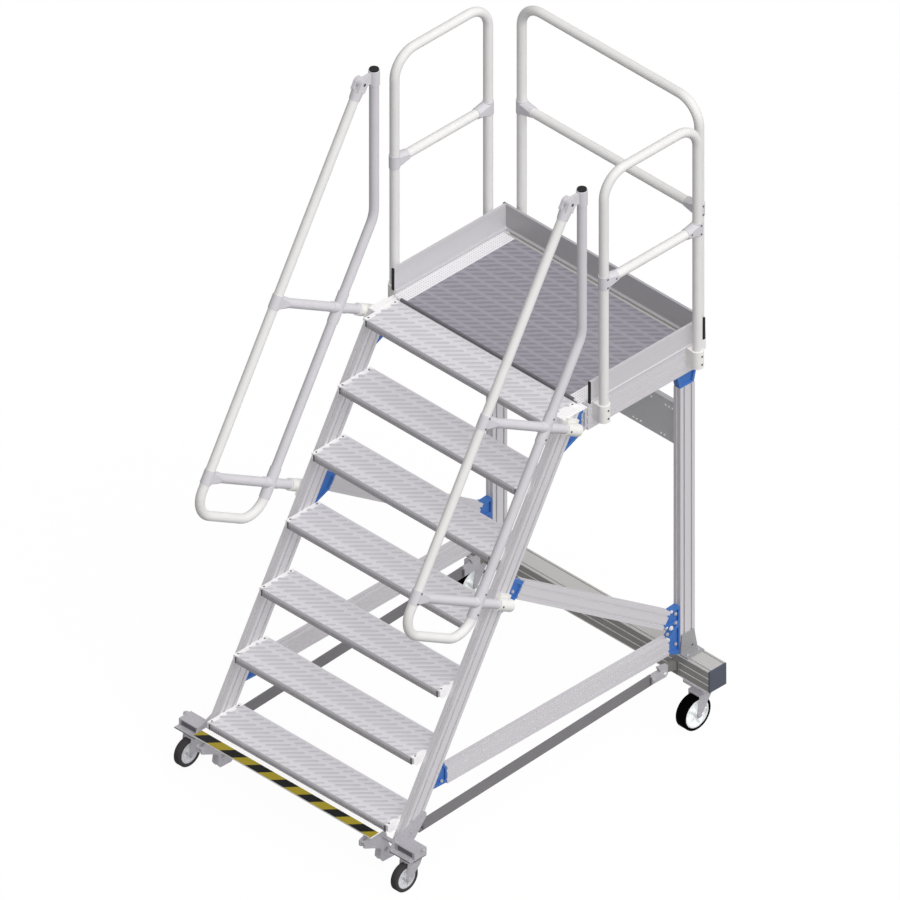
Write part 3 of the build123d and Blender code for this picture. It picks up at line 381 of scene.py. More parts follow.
def film_faced_board(name, ripple_colour, film_colour):
    """Film with rows of ripples between plain lines."""
    material, tree, shader, place = start_material(name, 0.0, 0.5)
    split = add(tree, "SeparateXYZ", {"Vector": place})
    in_plate = add(tree, "Math", {0: split.outputs["Y"], 1: PLATE_START + PLATE_MM * MM, 2: PLATE_START},
                   operation="WRAP").outputs["Value"]
    distances = []
    for line in PLAIN_LINES_MM:
        away = add(tree, "Math", {0: in_plate, 1: PLATE_START + line * MM},
                   operation="SUBTRACT").outputs["Value"]
        distances.append(add(tree, "Math", {0: away}, operation="ABSOLUTE").outputs["Value"])
    nearest = distances[0]
    for distance in distances[1:]:
        nearest = add(tree, "Math", {0: distance, 1: nearest}, operation="MINIMUM").outputs["Value"]
    in_row = add(tree, "MapRange", {"Value": nearest, "From Min": PLAIN_CLEAR_SHARE * PLAIN_HALF_MM * MM,
                                    "From Max": PLAIN_HALF_MM * MM}).outputs["Result"]
    across = add(tree, "Math", {0: split.outputs["X"], 1: in_plate}, operation="SUBTRACT").outputs["Value"]
    first = FIRST_RIPPLE.x - FIRST_RIPPLE.y
    moved = add(tree, "Math", {0: across, 1: first}, operation="SUBTRACT").outputs["Value"]
    turn = add(tree, "Math", {0: moved, 1: 2 * pi * per_metre(RIPPLE_PITCH_MM)},
               operation="MULTIPLY").outputs["Value"]
    wave = add(tree, "Math", {0: turn}, operation="COSINE").outputs["Value"]
    stroke = add(tree, "MapRange", {"Value": wave, "From Min": -0.9, "From Max": 0.7}).outputs["Result"]
    ripple = add(tree, "Math", {0: stroke, 1: in_row}, operation="MULTIPLY").outputs["Value"]
    vary_colour(tree, shader, ripple, film_colour, ripple_colour)
    vary_roughness(tree, shader, ripple, 0.58, 0.42)
    add_bump(tree, shader, ripple, 0.6, 0.3)
    return material


deck_film = film_faced_board("phenolic_film_grey_violet", "898690", "9E9BA4")
# The edge of the board is sealed with a plain coat of the same resin, painted darker as painted shade on
# its front face.
nosing_shade_film = powder_coat("phenolic_film_edge_painted_shade", "68646A", "757177")
print(deck_film.name, nosing_shade_film.name)

# %% [markdown]
# The edge strips of the deck are perforated sheet. Real holes this small would be thousands of faces for
# nothing, so a grid of dots darkens the sheet and dents it.
# %% Perforated sheet
HOLE_PITCH_MM = 12.0
HOLE_RADIUS_MM = 2.2


def perforated_sheet(name, low, high):
    """Sheet with a square grid of round holes."""
    material, tree, shader, place = start_material(name, 0.08, 0.45)
    spread = add(tree, "VectorMath", {0: place, 1: [per_metre(HOLE_PITCH_MM)] * 3}, operation="MULTIPLY")
    cell = add(tree, "VectorMath", {0: spread.outputs["Vector"]}, operation="FRACTION")
    centred = add(tree, "VectorMath", {0: cell.outputs["Vector"], 1: (0.5, 0.5, 0.5)}, operation="SUBTRACT")
    flat = add(tree, "VectorMath", {0: centred.outputs["Vector"], 1: (1.0, 1.0, 0.0)}, operation="MULTIPLY")
    reach = add(tree, "VectorMath", {0: flat.outputs["Vector"]}, operation="LENGTH").outputs["Value"]
    edge = HOLE_RADIUS_MM / HOLE_PITCH_MM
    solid = add(tree, "MapRange", {"Value": reach, "From Min": edge * 0.8,
                                   "From Max": edge * 1.1}).outputs["Result"]
    vary_colour(tree, shader, solid, low, high)
    add_bump(tree, shader, solid, 1.0)
    return material


deck_strip_metal = perforated_sheet("perforated_aluminium", "B6B4B8", "EDEBEE")
print(deck_strip_metal.name)

# %% [markdown]
# The foot bar carries hazard stripes, laid on white coated steel. They are 45 degree bands 71 mm long along
# the bar, with a white margin at the back and a thin one on the front fold. They are worked out from the
# place on the bar, so no picture is needed.
# %% Striped foot bar
STRIPE_MM = 71.0
BAR_LOW, BAR_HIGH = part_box("treadle_bar")
BAR_MARGIN_MM = 23.0
TOP_FACING = 0.9


def hazard_stripes(name):
    """Slanting bands on the flat top of the bar, and white elsewhere."""
    material, tree, shader, place = start_material(name, 0.0, 0.45)
    split = add(tree, "SeparateXYZ", {"Vector": place})
    lean = add(tree, "Math", {0: split.outputs["X"], 1: split.outputs["Y"]},
               operation="SUBTRACT").outputs["Value"]
    first = BAR_LOW.x - BAR_LOW.y
    moved = add(tree, "Math", {0: lean, 1: first}, operation="SUBTRACT").outputs["Value"]
    count = add(tree, "Math", {0: moved, 1: per_metre(2 * STRIPE_MM)}, operation="MULTIPLY").outputs["Value"]
    share = add(tree, "Math", {0: count}, operation="FRACT").outputs["Value"]
    yellow = add(tree, "Math", {0: share, 1: 0.5}, operation="GREATER_THAN").outputs["Value"]
    wear = add(tree, "TexNoise", {"Vector": place, "Scale": per_metre(20.0), "Detail": 4.0}).outputs["Fac"]
    paint = add(tree, "Mix", {"Factor": wear, "A": linear("928222"), "B": linear("A08F2C")}, data_type="RGBA")
    band = add(tree, "Mix", {"Factor": yellow, "A": linear("0C0C0D"), "B": paint.outputs["Result"]},
               data_type="RGBA").outputs["Result"]
    margin = add(tree, "Math", {0: split.outputs["Y"], 1: BAR_HIGH.y - BAR_MARGIN_MM * MM},
                 operation="LESS_THAN").outputs["Value"]
    normal = add(tree, "NewGeometry").outputs["True Normal"]
    up = add(tree, "SeparateXYZ", {"Vector": normal}).outputs["Z"]
    top = add(tree, "Math", {0: up, 1: TOP_FACING}, operation="GREATER_THAN").outputs["Value"]
    inside = add(tree, "Math", {0: margin, 1: top}, operation="MULTIPLY").outputs["Value"]
    final = add(tree, "Mix", {"Factor": inside, "A": linear("FAF9F7"), "B": band}, data_type="RGBA")
    tree.links.new(final.outputs["Result"], shader.inputs["Base Color"])
    vary_roughness(tree, shader, wear, 0.38, 0.55)
    return material


stripes = hazard_stripes("hazard_stripes_on_steel")
print("stripe length", STRIPE_MM)

# %% [markdown]
# Caps are moulded polyamide: black on the toe boards and rail ends, slate on the traverse. Moulding leaves a
# fine spark-eroded grain. Tyres are rubber, dark grey in front and black at the back, and the wheel centres
# are moulded in a pale plastic.
# %% Moulded plastic and rubber
SPARK_GRAIN_MM = 0.8


def moulded(name, low, high, roughness, grain_mm=SPARK_GRAIN_MM, depth=0.05, specular=0.15):
    """Plastic or rubber with the grain of its mould."""
    material, tree, shader, place = start_material(name, 0.0, roughness, specular)
    grain = add(tree, "TexNoise", {"Vector": place, "Scale": per_metre(grain_mm),
                                   "Detail": 1.0}).outputs["Fac"]
    cloud = add(tree, "TexNoise", {"Vector": place, "Scale": per_metre(30.0), "Detail": 2.0}).outputs["Fac"]
    vary_colour(tree, shader, cloud, low, high)
    vary_roughness(tree, shader, grain, roughness - 0.06, roughness + 0.06)
    add_bump(tree, shader, grain, depth)
    return material


black_plastic = moulded("polyamide_black", "141416", "1E1E20", 0.5)
slate_plastic = moulded("polyamide_slate", "4B505C", "555A66", 0.5)
grey_rubber = moulded("rubber_dark_grey", "3A3839", "454344", 0.75, 2.0, 0.1, 0.1)
black_rubber = moulded("rubber_black", "010101", "040404", 0.85, 2.0, 0.1, 0.02)
wheel_plastic_front = moulded("polypropylene_pale_grey", "CCCDD0", "D6D7DA", 0.45)
wheel_plastic_rear = moulded("polyamide_white", "E9ECEC", "F4F6F6", 0.45)
print(black_plastic.name, slate_plastic.name, grey_rubber.name, black_rubber.name)
print(wheel_plastic_front.name, wheel_plastic_rear.name)

# %% [markdown]
# Now each node of the frame gets its finish. A table of name beginnings is shorter than sixty lines, and a
# node that no row names stops the script, so none can be forgotten.
# %% Dress the frame's nodes
finish_of = {
    "stringer_left": profile_flight, "stringer_right": profile_flight, "stringer_heads": end_plate_metal,
    "rear_post": profile_up, "rear_traverse": profile_across, "traverse_caps": slate_plastic,
    "base_beams": profile_back, "braces": profile_brace, "rear_cross_plate": plate_metal,
    "post_gussets": grey_zinc, "platform_beam": profile_back, "platform_cross_beams": profile_across,
    "deck_panel": deck_film, "deck_strips": deck_strip_metal, "toe_board_rear": toe_across,
    "toe_board": toe_along, "black_caps": black_plastic, "guard_hoop": white_tube,
    "guard_midrails": white_tube, "guard_fittings": silver_tube, "guard_sockets": white_cast,
    "stair_rail": white_tube, "knee_rails": silver_tube, "cross_tubes": silver_tube,
    "rail_fittings": silver_tube, "rail_brackets": white_cast, "rail_heads": silver_tube,
    "blue_connectors": blue_cast, "tie_bars": dark_bar, "castor_brackets": zinc, "treadle_bar": stripes,
    "treadle_levers": zinc, "treadle_shafts": zinc, "castor_plates": zinc, "castor_front_fork": zinc,
    "castor_rear_fork": zinc, "castor_front_rim": wheel_plastic_front, "castor_rear_rim": wheel_plastic_rear,
    "castor_front_tyre": grey_rubber, "castor_rear_tyre": black_rubber, "tread_ends": end_plate_metal,
    "tread_": tread_metal,
}
for name, node in nodes.items():
    rows = [row for row in finish_of if name.startswith(row)]
    node.data.materials.clear()
    node.data.materials.append(finish_of[max(rows, key=len)])
print("dressed", len(nodes))

# %% [markdown]
# Small fasteners repeat all over the unit. Each kind is drawn once into a bmesh, in millimetres with its head
# along +Z, and stamped at a list of places. Stamping into one mesh keeps the count of objects low.
# %% Fastener helpers
ROUND_SIDES = 20
# radius of a washer over the width of its bolt's head
WASHER_SHARE = 0.68
# the corners of each face of a block
BLOCK_FACES = ((0, 1, 3, 2), (4, 6, 7, 5), (0, 4, 5, 1), (2, 3, 7, 6), (0, 2, 6, 4), (1, 5, 7, 3))


def new_piece(name, mesh_maker, material, body, smooth_angle=30.0):
    """Runs a maker on an empty bmesh, and sets the result on a body as one named piece."""
    mesh = bpy.data.meshes.new(name)
    built = bmesh.new()
    mesh_maker(built)
    built.normal_update()
    built.to_mesh(mesh)
    built.free()
    mesh.materials.append(material)
    piece = bpy.data.objects.new(name, mesh)
    bpy.context.scene.collection.objects.link(piece)
    mesh.shade_smooth()
    mesh.set_sharp_from_angle(angle=radians(smooth_angle))
    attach(piece, body)
    return piece


def facing(point, direction):
    """The matrix that sets a shape drawn along +Z on a point, looking along a direction."""
    turn = Vector(direction).to_track_quat("Z", "Y").to_matrix().to_4x4()
    return Matrix.Translation(point) @ turn


def turned_rings(built, matrix, outline_mm, sides):
    """One ring of corners for each pair of radius and height."""
    angles = [2 * pi * number / sides for number in range(sides)]
    return [[built.verts.new(matrix @ (Vector((radius * cos(angle), radius * sin(angle), height)) * MM))
             for angle in angles] for radius, height in outline_mm]


def join_rings(built, rings):
    """The walls between each ring and the next."""
    for low, high in zip(rings, rings[1:]):
        for number in range(len(low)):
            following = (number + 1) % len(low)
            built.faces.new((low[number], low[following], high[following], high[number]))


def turned_head(built, matrix, outline_mm, sides=ROUND_SIDES):
    """A turned shape that is closed at both ends."""
    rings = turned_rings(built, matrix, outline_mm, sides)
    join_rings(built, rings)
    built.faces.new(list(reversed(rings[0])))
    built.faces.new(rings[-1])


def hex_bolt(built, point, direction, across, height):
    """Hexagon head on a washer, seated on the surface."""
    matrix = facing(point, direction)
    washer = across * WASHER_SHARE
    turned_head(built, matrix, [(washer, -0.5), (washer, 1.2), (washer - 0.6, 1.8)])
    corner = across / 2 / cos(pi / 6)
    turned_head(built, matrix, [(corner, 1.0), (corner, height - 1.2), (corner * 0.84, height)], 6)


def socket_screw(built, point, direction, head, height=2.4):
    """Low round head of a screw or a rivet."""
    matrix = facing(point, direction)
    turned_head(built, matrix, [(head / 2, -0.4), (head / 2, height * 0.6), (head * 0.36, height)])


def block(built, corners):
    """A closed block from eight corners, in the order of their X, Y and Z."""
    placed = [built.verts.new(corner) for corner in corners]
    for face in BLOCK_FACES:
        built.faces.new([placed[number] for number in face])


def box_piece(built, low, high):
    """A block between two places in millimetres from the lowest nose."""
    block(built, [at(x, y, z) for x in (low[0], high[0]) for y in (low[1], high[1])
                  for z in (low[2], high[2])])


def side_boxes(built, across, along, height):
    """A block on the right side, from its limits in X, Y and Z, and its mirror image on the left."""
    for side in SIDES:
        inner, outer = sorted((side * across[0], side * across[1]))
        box_piece(built, (inner, along[0], height[0]), (outer, along[1], height[1]))


print("fastener helpers ready")

# %% [markdown]
# Every tread has a toothed nose and raised ribs on its top. The ribs are low, soft and long, laid at 45
# degrees in one broad band between two narrow ones, and painted a shade darker than the plank as painted
# shade for their flanks. They are one rounded stud that is stamped in rows. The teeth are upright
# wedges that lean out towards the foot of the nose, over a lip that closes it.
# %% Ribs and teeth of the treads
RIB_HEIGHT_MM = 0.5
RIB_STEP_MM = 38.5
RIB_ANGLE = radians(45.0)
# for each band: its middle behind the nose, half its width, the width of its ribs
RIB_BANDS_MM = [(16.0, 15.5, 13.0), (84.0, 37.0, 18.0), (152.0, 16.5, 13.0)]
# Each band, and each tread, meets the pattern of the die at another place.
FIRST_RIB_MM, BAND_SHIFT_MM, TREAD_SHIFT_MM = -12.8, 14.2, 21.4
RIB_LIMIT_MM = 489.0
SHORTEST_RIB_MM = 8.0
TOOTH_PITCH_MM, TOOTH_DEPTH_MM, TOOTH_HALF_SHARE = 12.0, 2.4, 0.3
# share of a tooth's depth at its foot, at its bend and at its top, and of its width at its crest
TOOTH_LEAN = (1.0, 0.5, 0.05)
TOOTH_CREST_SHARE = 0.4
TOOTH_BEND_MM = 7.0
NOSE_HEIGHT_MM = 34.5
LIP_MM = 7.0
# share of half the length, share of half the width
STUD_OUTLINE = [(-1.0, 0.0), (-0.93, -0.6), (-0.75, -1.0), (0.75, -1.0), (0.93, -0.6),
                (1.0, 0.0), (0.93, 0.6), (0.75, 1.0), (-0.75, 1.0), (-0.93, 0.6)]
# share of the size, share of the height
STUD_SLOPE = [(1.0, -0.1), (0.86, 0.7), (0.6, 1.0)]


def long_stud(built, centre, angle, length, width, height):
    """A long low stud with rounded ends and sloping sides."""
    turn = Matrix.Rotation(angle, 4, "Z")
    rings = []
    for size, level in STUD_SLOPE:
        ring = []
        for along, across in STUD_OUTLINE:
            reach = along * (length / 2 - width / 2 * (1.0 - size))
            point = turn @ Vector((reach, across * size * width / 2, level * height))
            ring.append(built.verts.new(centre + point * MM))
        rings.append(ring)
    join_rings(built, rings)
    built.faces.new(rings[-1])


def tread_ribs(built):
    """The studs of every band, cut short at the ends of the tread."""
    for step, name in enumerate(TREADS):
        low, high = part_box(name)
        for row, (middle, half, width) in enumerate(RIB_BANDS_MM):
            first = FIRST_RIB_MM + TREAD_SHIFT_MM * step + BAND_SHIFT_MM * row
            reach = int((RIB_LIMIT_MM + half + abs(first)) / RIB_STEP_MM) + 1
            for number in range(-reach, reach + 1):
                x = first + number * RIB_STEP_MM
                start = max(-half, -RIB_LIMIT_MM - x)
                end = min(half, RIB_LIMIT_MM - x)
                if end - start < SHORTEST_RIB_MM:
                    continue
                crossing = Vector((x * MM, low.y + middle * MM, high.z))
                centre = crossing + Vector((1, 1, 0)) * (start + end) / 2 * MM
                long_stud(built, centre, RIB_ANGLE, (end - start) * sqrt(2), width, RIB_HEIGHT_MM)


def nose_teeth(built):
    """Wedges along every nose, from nothing at its top to full depth at its foot."""
    for name in TREADS:
        low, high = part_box(name)
        count = int((high.x - low.x) / (TOOTH_PITCH_MM * MM))
        start = -(count - 1) * TOOTH_PITCH_MM * MM / 2
        half = TOOTH_PITCH_MM * MM * TOOTH_HALF_SHARE
        crest = half * TOOTH_CREST_SHARE
        levels = (high.z - NOSE_HEIGHT_MM * MM, high.z - TOOTH_BEND_MM * MM, high.z)
        for number in range(count):
            x = start + number * TOOTH_PITCH_MM * MM
            rings = []
            for z, out in zip(levels, TOOTH_LEAN):
                proud = low.y - TOOTH_DEPTH_MM * MM * out
                rings.append([built.verts.new((px, py, z)) for px, py in
                              ((x - half, low.y + MM), (x + half, low.y + MM),
                               (x + crest, proud), (x - crest, proud))])
            join_rings(built, rings)
            built.faces.new(list(reversed(rings[0])))
            built.faces.new(rings[-1])


def nose_lips(built):
    """The lip at the foot of every nose."""
    for name in TREADS:
        low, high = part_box(name)
        corners = [Vector((x, y, z)) for x in (low.x, high.x) for y in (low.y - MM, low.y + LIP_MM * MM)
                   for z in (high.z - NOSE_HEIGHT_MM * MM, high.z - (NOSE_HEIGHT_MM - LIP_MM) * MM)]
        block(built, corners)


ribs = new_piece("tread_ribs", tread_ribs, rib_shade_paint, "frame", 40.0)
teeth = new_piece("tread_nose_teeth", nose_teeth, nose_metal, "frame", 10.0)
new_piece("tread_nose_lips", nose_lips, nose_metal, "frame")
print("rib faces", len(ribs.data.polygons), "tooth faces", len(teeth.data.polygons))

# %% [markdown]
# Each tread end plate is held by two countersunk screws from above and shows them as small dark dots: the
# heads are painted dark grey as the shade in their sunk drives.
# %% Screws of the treads
SCREW_EDGE_MM, SCREW_PAST_END_MM = 16.0, 10.0
SCREW_HEAD_MM, SCREW_HEIGHT_MM = 8.0, 1.2


def tread_screws(built):
    """Two screws in each end plate."""
    for name in TREADS:
        low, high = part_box(name)
        for side in SIDES:
            x = side * (high.x + SCREW_PAST_END_MM * MM)
            for y in (low.y + SCREW_EDGE_MM * MM, high.y - SCREW_EDGE_MM * MM):
                socket_screw(built, Vector((x, y, high.z)), (0, 0, 1), SCREW_HEAD_MM, SCREW_HEIGHT_MM)


new_piece("tread_screws", tread_screws, drive_shade_paint, "frame")
print("tread screws", len(TREADS) * 4)

# %% [markdown]
# The blue castings, the foot brackets and the castor brackets are bolted to the profiles. The maker's drawing
# of such a joint lists each bolt by its place, its way and its size, so the tables below do the same for the
# right side and a loop sets the mirror image on the left.
# %% Bolts of the frame
RIGHT, FRONT, UP = (1, 0, 0), (0, -1, 0), (0, 0, 1)
CASTING_FACE = 534.0
# X, Y, Z, way, size across the flats
FRAME_BOLTS = [
    # post connector, upper and lower half
    (CASTING_FACE, 1511, 430, RIGHT, 11), (CASTING_FACE, 1557, 505, RIGHT, 11),
    (CASTING_FACE, 1557, 462, RIGHT, 11), (CASTING_FACE, 1557, 361, RIGHT, 11),
    # stringer connectors
    (CASTING_FACE, 242, 400, RIGHT, 11), (CASTING_FACE, 262, 352, RIGHT, 11),
    (CASTING_FACE, 655, 1062, RIGHT, 11), (CASTING_FACE, 640, 1010, RIGHT, 11),
    # platform connector
    (CASTING_FACE, 1040, 1690, RIGHT, 11), (CASTING_FACE, 1000, 1715, RIGHT, 11),
    # foot bracket of the post
    (566, 1592, 306, UP, 9), (566, 1650, 306, UP, 9),
    # cheek of the castor bracket
    (543, 145, 251, RIGHT, 9), (543, 86, 200, RIGHT, 9),
    # castor plate, seen on the lip and on the ear
    (562, -16, 165, UP, 8), (636, -16, 165, UP, 8), (656, 40, 195, UP, 11),
    # front bolt of the tie bar's clevis
    (532, 1440, 243, RIGHT, 13),
    # foot bar lever
    (466, 10, 178, RIGHT, 11),
]
# the same, for bolts with a brighter coat
PALE_BOLTS = [
    (CASTING_FACE, 1534, 526, RIGHT, 10), (CASTING_FACE, 1532, 449, RIGHT, 15),
    (CASTING_FACE, 1514, 400, RIGHT, 14),
    # pin of the clevis, at its lug
    (532, 1502, 243, RIGHT, 13),
]
HEAD_HEIGHT_SHARE = 0.45


def bolt_rows(rows):
    """A maker that sets the bolts of a table on both sides."""
    def stamp(built):
        for x, y, z, way, size in rows:
            for side in SIDES:
                hex_bolt(built, at(side * x, y, z), (side * way[0], way[1], way[2]), size,
                         size * HEAD_HEIGHT_SHARE)
    return stamp


new_piece("frame_bolts", bolt_rows(FRAME_BOLTS), zinc, "frame", 25.0)
new_piece("frame_bolts_pale", bolt_rows(PALE_BOLTS), bright_zinc, "frame", 25.0)
print("bolts a side", len(FRAME_BOLTS) + len(PALE_BOLTS))

# %% [markdown]
# Sockets, cups and collars of the tubes are clamped by small socket screws, which show as dark dots on their
# outer faces: the heads are painted dark grey as the shade in their sunk drives. They are listed like the
# bolts, and by loops where the same fitting repeats.
# %% Screws of the tube fittings
# X and Y of each side guard post, and the way its midrail leaves it
GUARD_POSTS = [(579.0, 1115.0, 1), (579.0, 1633.0, -1)]
REAR_POST_X, REAR_POST_Y = 491.0, 1731.0
SOCKET_SCREW_Z = (1696.0, 1734.0)
GUARD_MID_Z = 2339.8
COLLAR_STEPS = (-20.0, 20.0)
# faces of a collar, a socket and a midrail cup, out from the axis of their tube
COLLAR_OUT, SOCKET_OUT, CUP_OUT = 22.6, 25.8, 21.6
CUP_ALONG = 50.0
CROSS_ALONG = (988.0, 1740.0)
RAIL_X = 575.0
# how far the tubes and the bracket lie out from the nosing line, and the steps of their screws along it
RAIL_OUT, KNEE_OUT, BRACKET_OUT = 480.0, 82.0, -52.0
RAIL_STEPS, KNEE_STEPS = (-22.0, 22.0), (-44.0, 44.0)
GUSSET_SCREW = (544.0, 1640.0, 322.0)
HEAD_PIN_HALF, HEAD_PIN_Y, HEAD_PIN_Z = 22.0, 924.4, 2811.0
SMALL_HEAD_MM, SOCKET_HEAD_MM, PIN_HEAD_MM = 8.0, 9.0, 13.0


def tube_screws(built):
    """The screws of guards, stair rails and post gussets, and the pins of the rail heads."""
    for side in SIDES:
        outward = (side, 0, 0)
        for x, y, toward in GUARD_POSTS:
            for z in SOCKET_SCREW_Z:
                socket_screw(built, at(side * (x + SOCKET_OUT), y, z), outward, SOCKET_HEAD_MM)
            for step in COLLAR_STEPS:
                collar = at(side * (x + COLLAR_OUT), y, GUARD_MID_Z + step)
                socket_screw(built, collar, outward, SMALL_HEAD_MM)
            cup = at(side * (x + CUP_OUT), y + toward * CUP_ALONG, GUARD_MID_Z)
            socket_screw(built, cup, outward, SMALL_HEAD_MM)
        for z in SOCKET_SCREW_Z:
            rear_socket = at(side * REAR_POST_X, REAR_POST_Y + SOCKET_OUT, z)
            socket_screw(built, rear_socket, (0, 1, 0), SOCKET_HEAD_MM)
        for step in COLLAR_STEPS:
            rear_collar = at(side * (REAR_POST_X + COLLAR_OUT), REAR_POST_Y, GUARD_MID_Z + step)
            socket_screw(built, rear_collar, outward, SMALL_HEAD_MM)
        for along in CROSS_ALONG:
            for steps, out in ((KNEE_STEPS, KNEE_OUT), (RAIL_STEPS, RAIL_OUT)):
                for step in steps:
                    collar = on_slope(side * (RAIL_X + COLLAR_OUT), along + step, out)
                    socket_screw(built, collar, outward, SMALL_HEAD_MM)
            bracket = on_slope(side * (RAIL_X + SOCKET_OUT), along, BRACKET_OUT)
            socket_screw(built, bracket, outward, SOCKET_HEAD_MM)
        gusset_x, gusset_y, gusset_z = GUSSET_SCREW
        socket_screw(built, at(side * gusset_x, gusset_y, gusset_z), outward, SMALL_HEAD_MM)
        for way in SIDES:
            pin_end = at(side * RAIL_X + way * HEAD_PIN_HALF, HEAD_PIN_Y, HEAD_PIN_Z)
            socket_screw(built, pin_end, (way, 0, 0), PIN_HEAD_MM)


new_piece("tube_screws", tube_screws, drive_shade_paint, "frame", 25.0)
print("tube fittings screwed")

# %% [markdown]
# Each castor has a nut on both ends of its axle. The axle is fixed in the fork, so the nuts ride on the fork:
# they swivel with it and stand still while the wheel rolls.
# %% Nuts of the castor axles
# place, X, axle Y, axle Z, half width over the fork
CASTORS = [("front", 600.0, -10.0, 62.5, 25.0), ("rear", 620.0, 1568.5, 75.0, 34.0)]
NUT_ACROSS_MM, NUT_HEIGHT_MM = 18.0, 7.5
SIDE_WORDS = ((-1, "left"), (1, "right"))
for place, x, axle_y, axle_z, fork_half in CASTORS:
    for side, word in SIDE_WORDS:
        def axle_nuts(built):
            for way in SIDES:
                end = at(side * x + way * fork_half, axle_y, axle_z)
                hex_bolt(built, end, (way, 0, 0), NUT_ACROSS_MM, NUT_HEIGHT_MM)

        new_piece(f"axle_nuts_{place}_{word}", axle_nuts, zinc, f"{place}_{word}_fork", 25.0)
print("castor nuts", len(CASTORS) * 4)

# %% [markdown]
# A tyre's tread is flat with a tight shoulder. It is turned from a closed outline round the axle, as wide as
# the plain ring of the frame, rides on the wheel and stands for that ring.
# %% Tyres with square shoulders
# A wheel stands on the floor, so the height of its axle is the radius of its tyre.
# rim radius, half width, finish, slot
TYRES = {"front": (46.0, 16.0, grey_rubber, "grey_tyre"), "rear": (62.0, 25.0, black_rubber, "black_tyre")}
TYRE_SIDES = 56
SHOULDER_MM = 3.0
BEAD_IN_MM, BEAD_UP_MM = 2.0, 4.0


def turned_band(built, matrix, outline_mm, sides):
    """A ring from a closed outline of radius and height pairs."""
    rings = turned_rings(built, matrix, outline_mm, sides)
    join_rings(built, rings + rings[:1])


for place, x, axle_y, radius, _ in CASTORS:
    rim, half, finish, slot = TYRES[place]
    side_wall = [(rim, BEAD_IN_MM - half), (rim + BEAD_UP_MM, -half),
                 (radius - SHOULDER_MM, -half), (radius, SHOULDER_MM - half)]
    outline = side_wall + [(reach, -height) for reach, height in reversed(side_wall)]
    for side, word in SIDE_WORDS:
        def tyre(built):
            turned_band(built, facing(at(side * x, axle_y, radius), (1, 0, 0)), outline, TYRE_SIDES)

        piece = new_piece(f"tyre_{place}_{word}", tyre, finish, f"{place}_{word}_wheel", 50.0)
        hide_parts(f"castor_{place}_tyre_{word}")
print("tyres", 2 * len(TYRES))

# %% [markdown]
# Pale strips run along the traverse as painted highlight on the lit ledges of its grooves, with painted shade
# in the grooves between them. A nosing painted dark as shade closes the front of the deck board, pale covers
# lie over the joint between the flight and the platform, and dark strips are painted shade in the gaps at the
# ends of the noses and at the windows, lips and plates of the castor brackets. All are plain strips, sunk a
# little into what they lie on.
# %% Lands, nosing, covers and shades
TRAVERSE_FRONT, TRAVERSE_REACH, TRAVERSE_FOOT = 1574.0, 699.0, 200.0
LAND_MM = 4.5
LAND_HEIGHTS = (0.0, 31.0, 63.5, 95.5)
LAND_PROUD, SHADE_PROUD, STRIP_SUNK = 0.4, 0.2, 1.0
# two opposite corners of the strip along the board's front edge
DECK_NOSING = ((-480.0, 1047.0, 1750.0), (480.0, 1056.0, 1762.6))
# limits in X, Y and Z on the right side
JOINT_COVERS = [((500.5, 537.5), (952.0, 1022.0), (1749.6, 1751.0)),
                ((500.5, 537.5), (1018.0, 1066.0), (1740.5, 1744.0))]
# painted shade in each castor bracket: the back of its window, the front of its lip, a band round the plate
BRACKET_SHADES = [((558.3, 638.7), (-4.4, -3.0), (168.3, 189.7)),
                  ((538.5, 652.0), (-30.9, -29.9), (160.0, 164.5)),
                  ((549.4, 650.6), (-5.6, 61.6), (154.4, 159.7))]
# painted shade in the gap between each nose and its end plate
# the same, from the nose and the top of each tread
NOSE_GAP_X, NOSE_GAP_Y, NOSE_GAP_Z = (482.0, 489.0), (-3.4, 2.0), (-33.0, -5.0)


def traverse_painted_highlights(built):
    """Pale strips on the lands as painted highlight, proud of the face."""
    for height in LAND_HEIGHTS:
        box_piece(built, (-TRAVERSE_REACH, TRAVERSE_FRONT - LAND_PROUD, TRAVERSE_FOOT + height),
                  (TRAVERSE_REACH, TRAVERSE_FRONT + STRIP_SUNK, TRAVERSE_FOOT + height + LAND_MM))


def traverse_shade(built):
    """Painted shade in the grooves between the lands, just proud of the face."""
    for low, high in zip(LAND_HEIGHTS, LAND_HEIGHTS[1:]):
        box_piece(built, (-TRAVERSE_REACH, TRAVERSE_FRONT - SHADE_PROUD, TRAVERSE_FOOT + low + LAND_MM),
                  (TRAVERSE_REACH, TRAVERSE_FRONT + STRIP_SUNK, TRAVERSE_FOOT + high))


def deck_nosing(built):
    """The strip along the front edge of the board, painted dark as shade."""
    box_piece(built, *DECK_NOSING)


def joint_covers(built):
    """The cover over the head of each stringer and the one behind it."""
    for across, along, height in JOINT_COVERS:
        side_boxes(built, across, along, height)


def nose_gaps(built):
    """Painted shade in the gap between the nose of each tread and its end plate."""
    for step in range(len(TREADS)):
        nose, top = step * GOING / MM, (step + 1) * RISE / MM
        side_boxes(built, NOSE_GAP_X, [nose + y for y in NOSE_GAP_Y], [top + z for z in NOSE_GAP_Z])


def bracket_shades(built):
    """Painted shade at the back of each bracket's window, on the front of its lip and round the castor plate.
    """
    for across, along, height in BRACKET_SHADES:
        side_boxes(built, across, along, height)


new_piece("nose_gaps", nose_gaps, shade_metal, "frame")
new_piece("bracket_shades", bracket_shades, shade_metal, "frame")
new_piece("traverse_painted_highlights", traverse_painted_highlights, ledge_highlight_paint, "frame")
new_piece("traverse_shade", traverse_shade, groove_shade_paint, "frame")
new_piece("deck_nosing", deck_nosing, nosing_shade_film, "frame")
new_piece("joint_covers", joint_covers, end_plate_metal, "frame")
print("strips done")

